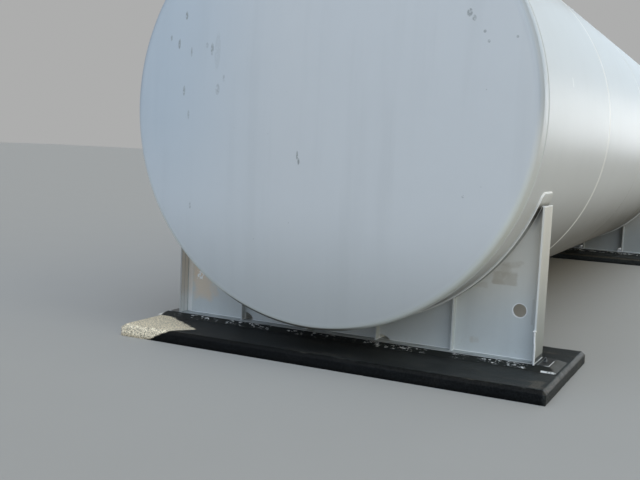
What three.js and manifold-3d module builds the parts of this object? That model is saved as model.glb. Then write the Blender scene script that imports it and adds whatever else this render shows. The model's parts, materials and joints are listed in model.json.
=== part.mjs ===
// Horizontal steel storage tank on two fabricated saddles, each on its own concrete plinth.
// Millimetres, +Z up. The tank's axis runs along Y, and its front head faces -Y.
// The origin is on the ground under the middle of the tank.
import * as THREE from 'three';
import { ConvexGeometry } from 'three/addons/geometries/ConvexGeometry.js';
import { mergeVertices } from 'three/addons/utils/BufferGeometryUtils.js';
import Module from 'manifold-3d';

// Shell and heads
const TANK_RADIUS = 1800;
const SHELL_THICKNESS = 8;
const STRAKE_LENGTHS = [2920, 3030, 3030, 2020];
const ROUND_STEPS = 80;
const HEAD_THICKNESS = 10;
const OUTER_SKIN_STEPS = { knuckle: 3, crown: 4 };
const INNER_SKIN_STEPS = { knuckle: 2, crown: 2 };
const HEAD_STRAIGHT = 140;
const KNUCKLE_RADIUS = 60;
const CROWN_RADIUS = 12600;
const WELD_GAP = 0.3;

// Saddles, each in a frame of its own: its outer side, towards the head, is at -Y
const SADDLE_INSET = 586;
const SADDLE_HALF_WIDTH = 1720;
const SADDLE_DEPTH = 296;
const WEB_OFFSET = -26;
const WEB_THICKNESS = 12;
const RIB_COUNT = 4;
const RIB_PITCH = 689;
const RIBS_OFF_CENTRE = -23;
const RIB_THICKNESS = 14;
const RIB_SETBACK = 54;
const END_FLANGE_THICKNESS = 16;
const END_FLANGE_TOP_DROP = 685;
const WEAR_PLATE_THICKNESS = 16;
const WEAR_PLATE_WIDTH = 372;
const WEAR_PLATE_OFFSET = 20;
const WEAR_PLATE_HALF_ANGLE = 71.2;
const WEB_HOLE = { x: 1557, drop: 1556, radius: 55, quarter_steps: 12 };
// Drain holes at the web's foot, each against the right side of a rib
const DRAIN_HOLES = [
  { rib: 0, width: 84, height: 66 },
  { rib: 1, width: 76, height: 58 },
  { rib: 2, width: 104, height: 38 },
];
const DRAIN_HOLE_STEPS = 6;

// Footing, stacked from the ground up
const PLINTH = { x: 3876, y: 1602, z: 110, chamfer: 28, off_centre: 32 };
const GROUT_BED = { x: 3844, y: 472, z: 20, shoulder: 13, lip: 6 };
const BASE_PLATE = { x: 3700, y: 300, z: 16 };
const AXIS_ABOVE_BASE_PLATE = 1956;

// Fittings along the crown of the tank, placed from the middle of its length
const MANWAY = { y: -1500, outer: 305, bore: 295, height: 160, steps: 32 };
const MANWAY_COVER = { radius: 370, thickness: 24, steps: 32 };
const FILL_NOZZLE = { y: 1400, outer: 84, bore: 77, height: 150, steps: 24 };
const FILL_COVER = { radius: 142, thickness: 24, steps: 24 };
const DIP_PIPE = { y: 600, outer: 45, bore: 40, height: 140, steps: 16 };
const DIP_CAP = { radius: 56, thickness: 40, steps: 16 };
const VENT_PIPE = { y: 3600, outer: 57, bore: 51, height: 420, steps: 16 };
const VENT_COWL = { seat: 66, radius: 120, brim: 45, height: 75, roof: 6, steps: 24 };
const BORE_STEPS = 32;
// The lug's cheeks rise straight to the shoulder, and its round top starts at an angle above level
const LIFTING_LUG = {
  length: 220, height: 170, thickness: 20, eye: 32, shoulder: 42.5, round_from: 27, round_steps: 8,
};

// Earth connection on the right end flange of the front saddle, measured from the saddle's middle
const EARTH_LUG = { above_base: 257, x: 26, y: 22, z: 34 };
const EARTH_WIRE_RADIUS = 8;
const EARTH_WIRE_FOOT = { x: 1728, y: -166, rise: 60 };
const EARTH_WIRE_BOW = { straight: 30, drop: 110, out: 8 };
const EARTH_WIRE_STEPS = { along: 12, round: 8 };

// Worked out from the driving dimensions
const SHELL_LENGTH = STRAKE_LENGTHS.reduce((total, length) => total + length, 0);
const BASE_BOTTOM = PLINTH.z + GROUT_BED.z;
const BASE_TOP = BASE_BOTTOM + BASE_PLATE.z;
const AXIS_HEIGHT = BASE_TOP + AXIS_ABOVE_BASE_PLATE;
const FULL_TURN = 2 * Math.PI;
const QUARTER_TURN = Math.PI / 2;
const ROUND_STEP = FULL_TURN / ROUND_STEPS;
const WEAR_PLATE_INNER = TANK_RADIUS + WELD_GAP;
const WEAR_PLATE_OUTER = WEAR_PLATE_INNER + WEAR_PLATE_THICKNESS;
const SEAT_RADIUS = WEAR_PLATE_OUTER + WELD_GAP;
const SEAT_STEPS = Math.floor(THREE.MathUtils.degToRad(WEAR_PLATE_HALF_ANGLE) / ROUND_STEP);
const SADDLE_Y = SHELL_LENGTH / 2 - SADDLE_INSET;
const INNER_HALF_WIDTH = SADDLE_HALF_WIDTH - END_FLANGE_THICKNESS / 2;
const RIB_CENTRES = Array.from({ length: RIB_COUNT }, (_, index) => (
  RIBS_OFF_CENTRE + (index - (RIB_COUNT - 1) / 2) * RIB_PITCH));

// Corners closer than this are one corner
const MERGE_DISTANCE = 1e-3;

const wasm = await Module();
wasm.setup();

const tank = new THREE.Group();

function paint(colour, roughness, metalness) {
  return () => new THREE.MeshStandardMaterial({ color: colour, roughness, metalness });
}
const whitePaint = paint(0xd9dcdc, 0.35, 0.1);
const saddlePaint = paint(0xcfd0cc, 0.45, 0.1);
const concrete = paint(0x6f6a60, 0.85, 0.0);
const galvanised = paint(0xa9adb0, 0.45, 0.8);

function addPiece(group, name, geometry, material, place = [0, 0, 0], turnX = 0) {
  const mesh = new THREE.Mesh(geometry, material());
  mesh.name = name;
  mesh.position.set(...place);
  mesh.rotation.x = turnX;
  group.add(mesh);
  return mesh;
}

// A closed three.js geometry as a solid that can be cut.
function solidFrom(geometry) {
  const bare = geometry.clone();
  bare.deleteAttribute('normal');
  bare.deleteAttribute('uv');
  const merged = mergeVertices(bare, MERGE_DISTANCE);
  const vertProperties = new Float32Array(merged.attributes.position.array);
  const triVerts = new Uint32Array(merged.index.array);
  return new wasm.Manifold(new wasm.Mesh({ numProp: 3, vertProperties, triVerts }));
}

function geometryFrom(solid) {
  const mesh = solid.getMesh();
  const geometry = new THREE.BufferGeometry();
  geometry.setAttribute('position', new THREE.BufferAttribute(new Float32Array(mesh.vertProperties), 3));
  geometry.setIndex(new THREE.BufferAttribute(new Uint32Array(mesh.triVerts), 1));
  geometry.computeVertexNormals();
  return geometry;
}

// A closed ring about the Y axis, with a wall between two radii.
function ringAboutY(inner, outer, yLow, yHigh, steps = ROUND_STEPS) {
  const profile = [
    new THREE.Vector2(inner, yLow),
    new THREE.Vector2(outer, yLow),
    new THREE.Vector2(outer, yHigh),
    new THREE.Vector2(inner, yHigh),
    new THREE.Vector2(inner, yLow),
  ];
  return new THREE.LatheGeometry(profile, steps);
}

// A solid of revolution about the vertical, from a profile of [radius, height] points.
function turnedUpright(points, steps) {
  const profile = points.map(([r, z]) => new THREE.Vector2(r, z));
  const geometry = new THREE.LatheGeometry(profile, steps);
  geometry.rotateX(QUARTER_TURN);
  return geometry;
}

// The bore of a fitting on the crown, as a cutter that passes through the top of the shell.
function boreCutter(fitting) {
  const cutter = new THREE.CylinderGeometry(fitting.bore, fitting.bore, TANK_RADIUS, BORE_STEPS);
  cutter.rotateX(QUARTER_TURN);
  cutter.translate(0, fitting.y, AXIS_HEIGHT + TANK_RADIUS);
  return solidFrom(cutter);
}

// Shell: four rings, butt welded, with the bores of the crown fittings cut through them
const CROWN_FITTINGS = [MANWAY, FILL_NOZZLE, DIP_PIPE, VENT_PIPE];
function addShell() {
  let yStart = -SHELL_LENGTH / 2;
  STRAKE_LENGTHS.forEach((length, index) => {
    const yEnd = yStart + length;
    const ring = ringAboutY(
      TANK_RADIUS - SHELL_THICKNESS, TANK_RADIUS, yStart + WELD_GAP / 2, yEnd - WELD_GAP / 2);
    ring.translate(0, 0, AXIS_HEIGHT);
    let solid = solidFrom(ring);
    for (const fitting of CROWN_FITTINGS) {
      const inside = fitting.y > yStart && fitting.y < yEnd;
      if (inside) solid = solid.subtract(boreCutter(fitting));
    }
    addPiece(tank, `shell_strake_${index + 1}`, geometryFrom(solid), whitePaint);
    yStart = yEnd;
  });
}

// One skin of a head: from the weld along the straight, round the knuckle and over the crown.
// Depth grows away from the weld.
function headSkin(inset, steps) {
  const knuckleCentre = TANK_RADIUS - KNUCKLE_RADIUS;
  const knuckle = KNUCKLE_RADIUS - inset;
  const crown = CROWN_RADIUS - inset;
  const rimAngle = Math.asin(knuckleCentre / (CROWN_RADIUS - KNUCKLE_RADIUS));
  const crownCentre = HEAD_STRAIGHT - (CROWN_RADIUS - KNUCKLE_RADIUS) * Math.cos(rimAngle);
  const points = [[TANK_RADIUS - inset, 0]];
  for (let step = 0; step <= steps.knuckle; step += 1) {
    const angle = (QUARTER_TURN - rimAngle) * (step / steps.knuckle);
    points.push([knuckleCentre + knuckle * Math.cos(angle), HEAD_STRAIGHT + knuckle * Math.sin(angle)]);
  }
  for (let step = 1; step <= steps.crown; step += 1) {
    const angle = rimAngle * (1 - step / steps.crown);
    points.push([crown * Math.sin(angle), crownCentre + crown * Math.cos(angle)]);
  }
  points[points.length - 1][0] = 0;
  return points;
}

function addHead(name, facing) {
  const outer = headSkin(0, OUTER_SKIN_STEPS);
  const inner = headSkin(HEAD_THICKNESS, INNER_SKIN_STEPS);
  const rise = SHELL_LENGTH / 2 + WELD_GAP / 2;
  const outline = [...inner.reverse(), ...outer];
  if (facing < 0) outline.reverse();
  const profile = outline.map(([r, depth]) => new THREE.Vector2(r, facing * (rise + depth)));
  addPiece(tank, name, new THREE.LatheGeometry(profile, ROUND_STEPS), whitePaint, [0, 0, AXIS_HEIGHT]);
}

function crownTop(fitting) {
  return AXIS_HEIGHT + TANK_RADIUS + fitting.height;
}

// A pipe that stands on the crown of the shell, its foot cut to the shell's round.
function crownPipe(fitting) {
  const top = crownTop(fitting);
  const foot = AXIS_HEIGHT + TANK_RADIUS / 2;
  const wall = turnedUpright([
    [fitting.bore, foot], [fitting.outer, foot], [fitting.outer, top], [fitting.bore, top],
    [fitting.bore, foot],
  ], fitting.steps);
  wall.translate(0, fitting.y, 0);
  const shellSpace = new THREE.CylinderGeometry(
    TANK_RADIUS + WELD_GAP, TANK_RADIUS + WELD_GAP, 4 * fitting.outer, ROUND_STEPS);
  shellSpace.translate(0, fitting.y, AXIS_HEIGHT);
  return geometryFrom(solidFrom(wall).subtract(solidFrom(shellSpace)));
}

function coverPlate({ radius, thickness, steps }) {
  return turnedUpright([[0, 0], [radius, 0], [radius, thickness], [0, thickness]], steps);
}

function addCrownFittings() {
  addPiece(tank, 'manway_neck', crownPipe(MANWAY), whitePaint);
  addPiece(tank, 'manway_cover', coverPlate(MANWAY_COVER), whitePaint, [0, MANWAY.y, crownTop(MANWAY)]);
  addPiece(tank, 'fill_nozzle', crownPipe(FILL_NOZZLE), whitePaint);
  addPiece(tank, 'fill_cover', coverPlate(FILL_COVER), whitePaint,
    [0, FILL_NOZZLE.y, crownTop(FILL_NOZZLE)]);
  addPiece(tank, 'dip_pipe', crownPipe(DIP_PIPE), whitePaint);
  addPiece(tank, 'dip_cap', coverPlate(DIP_CAP), galvanised, [0, DIP_PIPE.y, crownTop(DIP_PIPE)]);
  addPiece(tank, 'vent_pipe', crownPipe(VENT_PIPE), whitePaint);
  const { seat, radius, brim, height, roof, steps } = VENT_COWL;
  const cowl = turnedUpright([
    [0, 0], [seat, 0], [radius - roof, -brim], [radius, -brim], [radius, 0],
    [seat, height - brim], [0, height - brim],
  ], steps);
  addPiece(tank, 'vent_cowl', cowl, whitePaint, [0, VENT_PIPE.y, crownTop(VENT_PIPE)]);
}

function liftingLug() {
  const { length, height, thickness, eye, shoulder } = LIFTING_LUG;
  const topRadius = eye * 2;
  const centre = height - topRadius;
  const roundFrom = THREE.MathUtils.degToRad(LIFTING_LUG.round_from);
  const outline = new THREE.Shape();
  outline.moveTo(-length / 2, 0);
  outline.lineTo(length / 2, 0);
  outline.lineTo(length / 2, shoulder);
  outline.absarc(0, centre, topRadius, roundFrom, Math.PI - roundFrom, false);
  outline.lineTo(-length / 2, shoulder);
  outline.closePath();
  const hole = new THREE.Path();
  hole.absarc(0, centre, eye, 0, FULL_TURN, true);
  outline.holes.push(hole);
  const geometry = new THREE.ExtrudeGeometry(outline, {
    depth: thickness, bevelEnabled: false, curveSegments: LIFTING_LUG.round_steps,
  });
  geometry.translate(0, 0, -thickness / 2);
  geometry.rotateX(QUARTER_TURN);
  geometry.rotateZ(QUARTER_TURN);
  return geometry;
}

// The underside of the wear plate as seen along the tank: a point at each step of the round,
// and straight between them. Drop is measured down from the tank's axis.
function seatPoint(step) {
  const angle = step * ROUND_STEP;
  return { x: SEAT_RADIUS * Math.sin(angle), drop: SEAT_RADIUS * Math.cos(angle) };
}

function seatSteps(xLow, xHigh) {
  const steps = [];
  for (let step = -SEAT_STEPS; step <= SEAT_STEPS; step += 1) {
    const { x } = seatPoint(step);
    if (x > xLow && x < xHigh) steps.push(step);
  }
  return steps;
}

function seatDrop(x) {
  let step = -SEAT_STEPS;
  while (seatPoint(step + 1).x < x) step += 1;
  const from = seatPoint(step);
  const to = seatPoint(step + 1);
  return from.drop + ((x - from.x) / (to.x - from.x)) * (to.drop - from.drop);
}

// Where the seat is a given drop below the axis, on the +X side.
function seatReach(drop) {
  let step = 0;
  while (seatPoint(step + 1).drop > drop) step += 1;
  const from = seatPoint(step);
  const to = seatPoint(step + 1);
  return from.x + ((drop - from.drop) / (to.drop - from.drop)) * (to.x - from.x);
}

// A plate whose outline is seen along the tank, as [x, drop] points, with its depth along Y.
function plateAcross(points, depth, holes = []) {
  const outline = new THREE.Shape(points.map(([x, drop]) => new THREE.Vector2(x, -drop)));
  outline.holes.push(...holes);
  const geometry = new THREE.ExtrudeGeometry(outline, {
    depth, bevelEnabled: false, curveSegments: 2 * WEB_HOLE.quarter_steps,
  });
  geometry.translate(0, 0, -depth / 2);
  return geometry;
}

// The wear plate is rolled to the shell. Its ends lie on the shell's last facet.
function wearPlate() {
  const lastFacet = [SEAT_STEPS * ROUND_STEP, (SEAT_STEPS + 1) * ROUND_STEP];
  const endAngle = THREE.MathUtils.degToRad(WEAR_PLATE_HALF_ANGLE);
  const facetMiddle = (lastFacet[0] + lastFacet[1]) / 2;
  const onFacet = Math.cos(ROUND_STEP / 2) / Math.cos(endAngle - facetMiddle);
  const side = (radius) => {
    const points = [];
    for (let step = -SEAT_STEPS; step <= SEAT_STEPS; step += 1) {
      points.push([radius * Math.sin(step * ROUND_STEP), radius * Math.cos(step * ROUND_STEP)]);
    }
    const end = [radius * onFacet * Math.sin(endAngle), radius * onFacet * Math.cos(endAngle)];
    return [[-end[0], end[1]], ...points, end];
  };
  const outline = [...side(WEAR_PLATE_OUTER), ...side(WEAR_PLATE_INNER).reverse()];
  return plateAcross(outline, WEAR_PLATE_WIDTH);
}

// The web fills the saddle from end flange to end flange, up to the wear plate. It has a round
// hole near its right end, and drain holes at its foot.
function saddleWeb() {
  const foot = AXIS_ABOVE_BASE_PLATE;
  const tip = seatReach(END_FLANGE_TOP_DROP);
  const points = [[-INNER_HALF_WIDTH, foot]];
  for (const { rib, width, height } of DRAIN_HOLES) {
    const corner = RIB_CENTRES[rib] + RIB_THICKNESS / 2;
    points.push([corner, foot]);
    for (let step = 0; step <= DRAIN_HOLE_STEPS; step += 1) {
      const angle = QUARTER_TURN * (step / DRAIN_HOLE_STEPS);
      points.push([corner + width * Math.sin(angle), foot - height * Math.cos(angle)]);
    }
  }
  points.push([INNER_HALF_WIDTH, foot]);
  points.push([INNER_HALF_WIDTH, END_FLANGE_TOP_DROP], [tip, END_FLANGE_TOP_DROP]);
  for (const step of seatSteps(-tip, tip).reverse()) {
    const { x, drop } = seatPoint(step);
    points.push([x, drop]);
  }
  points.push([-tip, END_FLANGE_TOP_DROP], [-INNER_HALF_WIDTH, END_FLANGE_TOP_DROP]);
  const hole = new THREE.Path();
  hole.absarc(WEB_HOLE.x, -WEB_HOLE.drop, WEB_HOLE.radius, 0, FULL_TURN, true);
  return plateAcross(points, WEB_THICKNESS, [hole]);
}

// A rib stands on the base plate and follows the wear plate at its top.
function saddleRib(x, depth) {
  const low = x - RIB_THICKNESS / 2;
  const high = x + RIB_THICKNESS / 2;
  const foot = AXIS_ABOVE_BASE_PLATE;
  const points = [[low, foot], [high, foot], [high, seatDrop(high)]];
  for (const step of seatSteps(low, high).reverse()) {
    const seat = seatPoint(step);
    points.push([seat.x, seat.drop]);
  }
  points.push([low, seatDrop(low)]);
  return plateAcross(points, depth);
}

function addSaddle(place, support) {
  const saddle = new THREE.Group();
  saddle.position.z = AXIS_HEIGHT;
  support.add(saddle);
  addPiece(saddle, `${place}_saddle_web`, saddleWeb(), saddlePaint, [0, WEB_OFFSET, 0], QUARTER_TURN);
  addPiece(saddle, `${place}_saddle_wear_plate`, wearPlate(), saddlePaint,
    [0, WEAR_PLATE_OFFSET, 0], QUARTER_TURN);

  const flangeHeight = AXIS_ABOVE_BASE_PLATE - END_FLANGE_TOP_DROP;
  const flangeMiddle = -(AXIS_ABOVE_BASE_PLATE + END_FLANGE_TOP_DROP) / 2;
  for (const [side, sign] of [['left', -1], ['right', 1]]) {
    const flange = new THREE.BoxGeometry(END_FLANGE_THICKNESS, SADDLE_DEPTH, flangeHeight);
    addPiece(saddle, `${place}_saddle_${side}_flange`, flange, saddlePaint,
      [sign * SADDLE_HALF_WIDTH, 0, flangeMiddle]);
  }

  for (const [face, sign] of [['outer', -1], ['inner', 1]]) {
    const ribEdge = sign * (SADDLE_DEPTH / 2 - RIB_SETBACK);
    const webFace = WEB_OFFSET + (sign * WEB_THICKNESS) / 2;
    const depth = Math.abs(ribEdge - webFace);
    RIB_CENTRES.forEach((x, index) => {
      addPiece(saddle, `${place}_saddle_${face}_rib_${index + 1}`, saddleRib(x, depth), saddlePaint,
        [0, (ribEdge + webFace) / 2, 0], QUARTER_TURN);
    });
  }
}

// A solid block with one rectangle at each level, from the bottom up.
function levelledBlock(levels) {
  const corners = [];
  for (const { x, y, z } of levels) {
    for (const [signX, signY] of [[-1, -1], [1, -1], [1, 1], [-1, 1]]) {
      corners.push(new THREE.Vector3((signX * x) / 2, (signY * y) / 2, z));
    }
  }
  return new ConvexGeometry(corners);
}

// Each plinth has a chamfered top edge. The saddle's base plate is bedded in grout on it, whose
// sloping shoulder rises to just under the top of the plate.
function addFooting(place, support) {
  const { x, y, z, chamfer } = PLINTH;
  const plinth = levelledBlock([
    { x, y, z: 0 },
    { x, y, z: z - chamfer },
    { x: x - 2 * chamfer, y: y - 2 * chamfer, z },
  ]);
  addPiece(support, `${place}_plinth`, plinth, concrete, [PLINTH.off_centre, 0, 0]);

  const { lip, shoulder } = GROUT_BED;
  const slopes = levelledBlock([
    { x: GROUT_BED.x, y: GROUT_BED.y, z: PLINTH.z },
    { x: BASE_PLATE.x + 2 * lip, y: BASE_PLATE.y + 2 * lip, z: BASE_BOTTOM + shoulder },
  ]);
  const pocket = new THREE.BoxGeometry(
    BASE_PLATE.x + 2 * WELD_GAP, BASE_PLATE.y + 2 * WELD_GAP, 2 * BASE_PLATE.z);
  pocket.translate(0, 0, BASE_BOTTOM + BASE_PLATE.z);
  const bed = solidFrom(slopes).subtract(solidFrom(pocket));
  addPiece(support, `${place}_grout_bed`, geometryFrom(bed), concrete);

  const plate = new THREE.BoxGeometry(BASE_PLATE.x, BASE_PLATE.y, BASE_PLATE.z);
  addPiece(support, `${place}_base_plate`, plate, saddlePaint,
    [0, 0, BASE_BOTTOM + BASE_PLATE.z / 2]);
}

// How high the grout's front shoulder is at a distance in front of the saddle's middle.
function shoulderHeight(distance) {
  const low = { distance: GROUT_BED.y / 2, z: PLINTH.z };
  const high = { distance: BASE_PLATE.y / 2 + GROUT_BED.lip, z: BASE_BOTTOM + GROUT_BED.shoulder };
  const share = (low.distance - distance) / (low.distance - high.distance);
  return low.z + share * (high.z - low.z);
}

// The earth lug is clamped to the front edge of the flange, and its wire runs down to the grout.
function addEarthConnection(support) {
  const lugY = -SADDLE_DEPTH / 2 - EARTH_LUG.y / 2;
  const lugZ = BASE_TOP + EARTH_LUG.above_base;
  const lug = new THREE.BoxGeometry(EARTH_LUG.x, EARTH_LUG.y, EARTH_LUG.z);
  addPiece(support, 'earth_lug', lug, galvanised, [SADDLE_HALF_WIDTH, lugY, lugZ]);

  const top = lugZ - EARTH_LUG.z / 2 - WELD_GAP;
  const foot = EARTH_WIRE_FOOT;
  const footZ = shoulderHeight(-foot.y - EARTH_WIRE_RADIUS) + WELD_GAP;
  const { straight, drop, out } = EARTH_WIRE_BOW;
  const route = new THREE.CatmullRomCurve3([
    new THREE.Vector3(SADDLE_HALF_WIDTH, lugY, top),
    new THREE.Vector3(SADDLE_HALF_WIDTH, lugY, top - straight),
    new THREE.Vector3(SADDLE_HALF_WIDTH + out, lugY - out, top - drop),
    new THREE.Vector3(foot.x, foot.y, footZ + foot.rise),
    new THREE.Vector3(foot.x, foot.y, footZ),
  ]);
  const section = new THREE.Shape();
  section.absarc(0, 0, EARTH_WIRE_RADIUS, 0, FULL_TURN, false);
  const wire = new THREE.ExtrudeGeometry(section, {
    extrudePath: route,
    steps: EARTH_WIRE_STEPS.along,
    curveSegments: EARTH_WIRE_STEPS.round,
    bevelEnabled: false,
  });
  addPiece(support, 'earth_wire', wire, whitePaint);
}

// A saddle with its footing. The rear one is the front one turned half round.
function addSupport(place, y, turn) {
  const support = new THREE.Group();
  support.position.y = y;
  support.rotation.z = turn;
  tank.add(support);
  addSaddle(place, support);
  addFooting(place, support);
  return support;
}

addHead('front_head', -1);
addShell();
addHead('rear_head', 1);
addCrownFittings();
for (const [place, sign] of [['front', -1], ['rear', 1]]) {
  addPiece(tank, `${place}_lifting_lug`, liftingLug(), whitePaint,
    [0, sign * SADDLE_Y, AXIS_HEIGHT + TANK_RADIUS + WELD_GAP]);
}
const frontSupport = addSupport('front', -SADDLE_Y, 0);
addSupport('rear', SADDLE_Y, Math.PI);
addEarthConnection(frontSupport);

export default tank;
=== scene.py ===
import json
import math
import random
from functools import reduce

import bmesh
import bpy
from bpy.props import FloatProperty, FloatVectorProperty, IntProperty, PointerProperty
from mathutils import Matrix, Vector, noise

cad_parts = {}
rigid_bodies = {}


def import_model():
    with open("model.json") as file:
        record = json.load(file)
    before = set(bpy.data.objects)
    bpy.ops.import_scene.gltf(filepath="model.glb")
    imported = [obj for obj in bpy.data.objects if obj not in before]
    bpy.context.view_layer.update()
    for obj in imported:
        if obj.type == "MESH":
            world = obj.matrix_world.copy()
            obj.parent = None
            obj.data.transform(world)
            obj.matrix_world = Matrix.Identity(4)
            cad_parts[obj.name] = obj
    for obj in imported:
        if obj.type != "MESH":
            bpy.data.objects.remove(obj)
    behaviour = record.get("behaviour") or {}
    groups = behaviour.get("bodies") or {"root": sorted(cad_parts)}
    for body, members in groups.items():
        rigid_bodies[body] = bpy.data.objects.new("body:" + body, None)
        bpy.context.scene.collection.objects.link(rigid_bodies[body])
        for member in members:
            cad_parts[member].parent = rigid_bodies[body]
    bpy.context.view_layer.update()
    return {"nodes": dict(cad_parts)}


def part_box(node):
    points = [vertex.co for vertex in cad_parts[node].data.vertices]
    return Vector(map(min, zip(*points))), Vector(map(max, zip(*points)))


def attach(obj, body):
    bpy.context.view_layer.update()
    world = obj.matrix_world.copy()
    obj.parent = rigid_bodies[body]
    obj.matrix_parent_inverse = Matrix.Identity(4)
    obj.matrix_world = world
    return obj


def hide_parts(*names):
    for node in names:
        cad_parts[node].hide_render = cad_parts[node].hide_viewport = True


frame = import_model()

bl_info = {
    "name": "Saddle Tank",
    "version": (1, 0, 0),
    "blender": (4, 5, 0),
    "location": "View3D > Sidebar > Tank",
    "description": "Dresses a horizontal storage tank that lies on two saddles",
    "category": "Object",
}

# Places that the frame gives
PLACES = ("front", "rear")
STRAKES = [f"shell_strake_{number}" for number in range(1, 5)]
STRAKE_BOXES = [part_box(node) for node in STRAKES]
AXIS_HEIGHT = (STRAKE_BOXES[0][0].z + STRAKE_BOXES[0][1].z) / 2
TANK_RADIUS = (STRAKE_BOXES[0][1].z - STRAKE_BOXES[0][0].z) / 2
SHELL_ENDS = (STRAKE_BOXES[0][0].y, STRAKE_BOXES[-1][1].y)
GIRTH_SEAMS = [(low[1].y + high[0].y) / 2 for low, high in zip(STRAKE_BOXES, STRAKE_BOXES[1:])]
HEAD_SEAMS = [(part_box("front_head")[1].y + SHELL_ENDS[0]) / 2, (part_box("rear_head")[0].y + SHELL_ENDS[1]) / 2]
AXIS = Vector((0, 0, AXIS_HEIGHT))
ALONG_TANK = Vector((0, 1, 0))
UPRIGHT = Vector((0, 0, 1))
WHOLE_TURN = 2 * math.pi
RIB_NUMBERS = range(1, 5)


# Sizes and colours that a user would change

def length(name, default, description):
    return FloatProperty(name=name, default=default, min=0.0, unit="LENGTH", subtype="DISTANCE",
                         precision=4, description=description)


def colour(name, default, description):
    return FloatVectorProperty(name=name, default=default, min=0.0, max=1.0, subtype="COLOR",
                               size=3, description=description)


def angle(name, degrees, description):
    return FloatProperty(name=name, default=math.radians(degrees), subtype="ANGLE", description=description)


def strength(name, default, description):
    return FloatProperty(name=name, default=default, min=0.0, description=description)


class TankSizes(bpy.types.PropertyGroup):
    """Sizes of the shell, the heads and their welds"""
    round_steps: IntProperty(name="Round steps", default=192, min=48, description="Faces round the shell")
    shell_wall: length("Shell wall", 0.008, "Thickness of the shell plate")
    head_wall: length("Head wall", 0.010, "Thickness of the head plate")
    head_straight: length("Head straight", 0.140, "Straight flange of a head, from its weld")
    knuckle_radius: length("Knuckle radius", 0.060, "Outer radius of a head's knuckle")
    crown_radius: length("Crown radius", 12.6, "Outer radius of a head's dish")
    seam_pull: length("Seam pull", 0.0022, "How far a girth weld has drawn the plate in")
    bead_width: length("Bead width", 0.015, "Width of a butt weld's cap")
    bead_height: length("Bead height", 0.0028, "Height of a butt weld's cap")
    fillet_leg: length("Fillet leg", 0.008, "Leg of a fillet weld")


class SaddleSizes(bpy.types.PropertyGroup):
    """Sizes of the saddles and their bolts"""
    wear_half_angle: angle("Wear plate half angle", 71.2, "From the lowest point to the wear plate's end")
    wear_corner: length("Wear plate corner", 0.055, "Corner radius of the wear plate")
    plate_edge: length("Plate edge", 0.0015, "Rounding of the saddle plates' edges")
    plate_weld: length("Plate weld", 0.005, "Leg of the welds between the saddle's plates")
    seat_weld: length("Seat weld", 0.004, "Leg of the weld between web and wear plate")
    stud_radius: length("Stud radius", 0.010, "Radius of an anchor stud")
    stud_height: length("Stud height", 0.036, "Height of a stud above the base plate")
    nut_width: length("Nut width", 0.030, "Anchor nut, across its flats")


class CrownSizes(bpy.types.PropertyGroup):
    """Sizes of the fittings on the crown"""
    flange_thickness: length("Flange thickness", 0.011, "Flange and cover plate of the manway")
    gasket: length("Gasket", 0.002, "Thickness of the gaskets")
    cover_bolt: length("Cover bolt", 0.020, "Bolt of the manway's cover")
    cover_bolts: IntProperty(name="Cover bolts", default=20, min=4, description="Bolts round the manway")
    handle_rod: length("Handle rod", 0.012, "Rod of the cover's handles")


class TankColours(bpy.types.PropertyGroup):
    """Colours of the finishes"""
    white: colour("Tank white", (0.66, 0.67, 0.66), "Paint of the shell and heads")
    # Painted shade: laid on the heads' rims above the middle
    slate: colour("Rim shadow", (0.30, 0.36, 0.42), "Older paint on the heads' rims, above the middle")
    # Painted sky tint: laid bluer towards the heads' upper left
    cool: colour("Cool paint", (0.30, 0.50, 0.67), "Bluer paint towards the heads' left")
    # Stripe coat on the welds, also laid as painted highlight on edges and tops, and as painted bounce light
    stripe: colour("Stripe coat", (0.95, 0.945, 0.91), "Paint brushed over the welds")
    pale_green: colour("Knuckle paint", (0.84, 0.90, 0.82), "Newer paint on the heads' knuckles")
    saddle: colour("Saddle paint", (0.77, 0.735, 0.65), "Paint of the saddles")
    # Painted sky reflection at the saddles' foot, and the pale paint on the base plates' tops
    washed: colour("Washed paint", (0.64, 0.675, 0.66), "Saddle paint that rain keeps clean, at its foot")
    # Rain dirt, also laid as painted shade low on the heads, under the wear plates and on the flanges
    rain: colour("Rain streak", (0.26, 0.27, 0.25), "Dirt that rain has washed down")
    # Grime, also laid as painted shade under the shell, at the heads' lowest rims, in corners and under wear
    # plates
    grime: colour("Grime", (0.150, 0.132, 0.100), "Grime on the tank's underside")
    beige: colour("Beige stain", (0.52, 0.465, 0.37), "Stains of splashed earth")
    # Dried earth in the left stains, also laid as painted warm bounce light on the left ends
    earth: colour("Dried earth", (0.80, 0.64, 0.46), "Dried earth on the front saddle's left end")
    rust: colour("Rust", (0.20, 0.095, 0.06), "Rust at edges and welds")
    # Wet concrete, darkened as a painted shade
    wet_concrete: colour("Wet concrete", (0.029, 0.032, 0.031), "Wet concrete of the plinths")
    damp_concrete: colour("Damp concrete", (0.088, 0.080, 0.064), "Worn edges of the plinths")
    # Standing water, also laid as painted shade on the front plinth
    film: colour("Wet film", (0.0025, 0.003, 0.0035), "Standing water along the plinths' fronts")
    # Drier concrete, also laid as painted sunlight on the front plinth's left end
    dry_concrete: colour("Dry concrete", (0.87, 0.75, 0.545), "Dry concrete of the plinths")
    grout: colour("Grout", (0.016, 0.018, 0.016), "Grout under the base plates")
    zinc: colour("Zinc", (0.50, 0.52, 0.53), "Galvanised steel")
    # Drier grout, also laid as painted sunlight on the front bed's left end
    pale_grout: colour("Pale grout", (0.885, 0.843, 0.745), "Dry grout at the front bed's left end")
    rubber: colour("Rubber", (0.02, 0.02, 0.02), "Gaskets")
    plate: colour("Base plate", (0.020, 0.023, 0.024), "Dirt on the base plates")
    sheath: colour("Wire sheath", (0.85, 0.86, 0.84), "Sheath of the earth wire")
    floor: colour("Floor", (0.45, 0.437, 0.407), "Pale studio floor")


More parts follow.
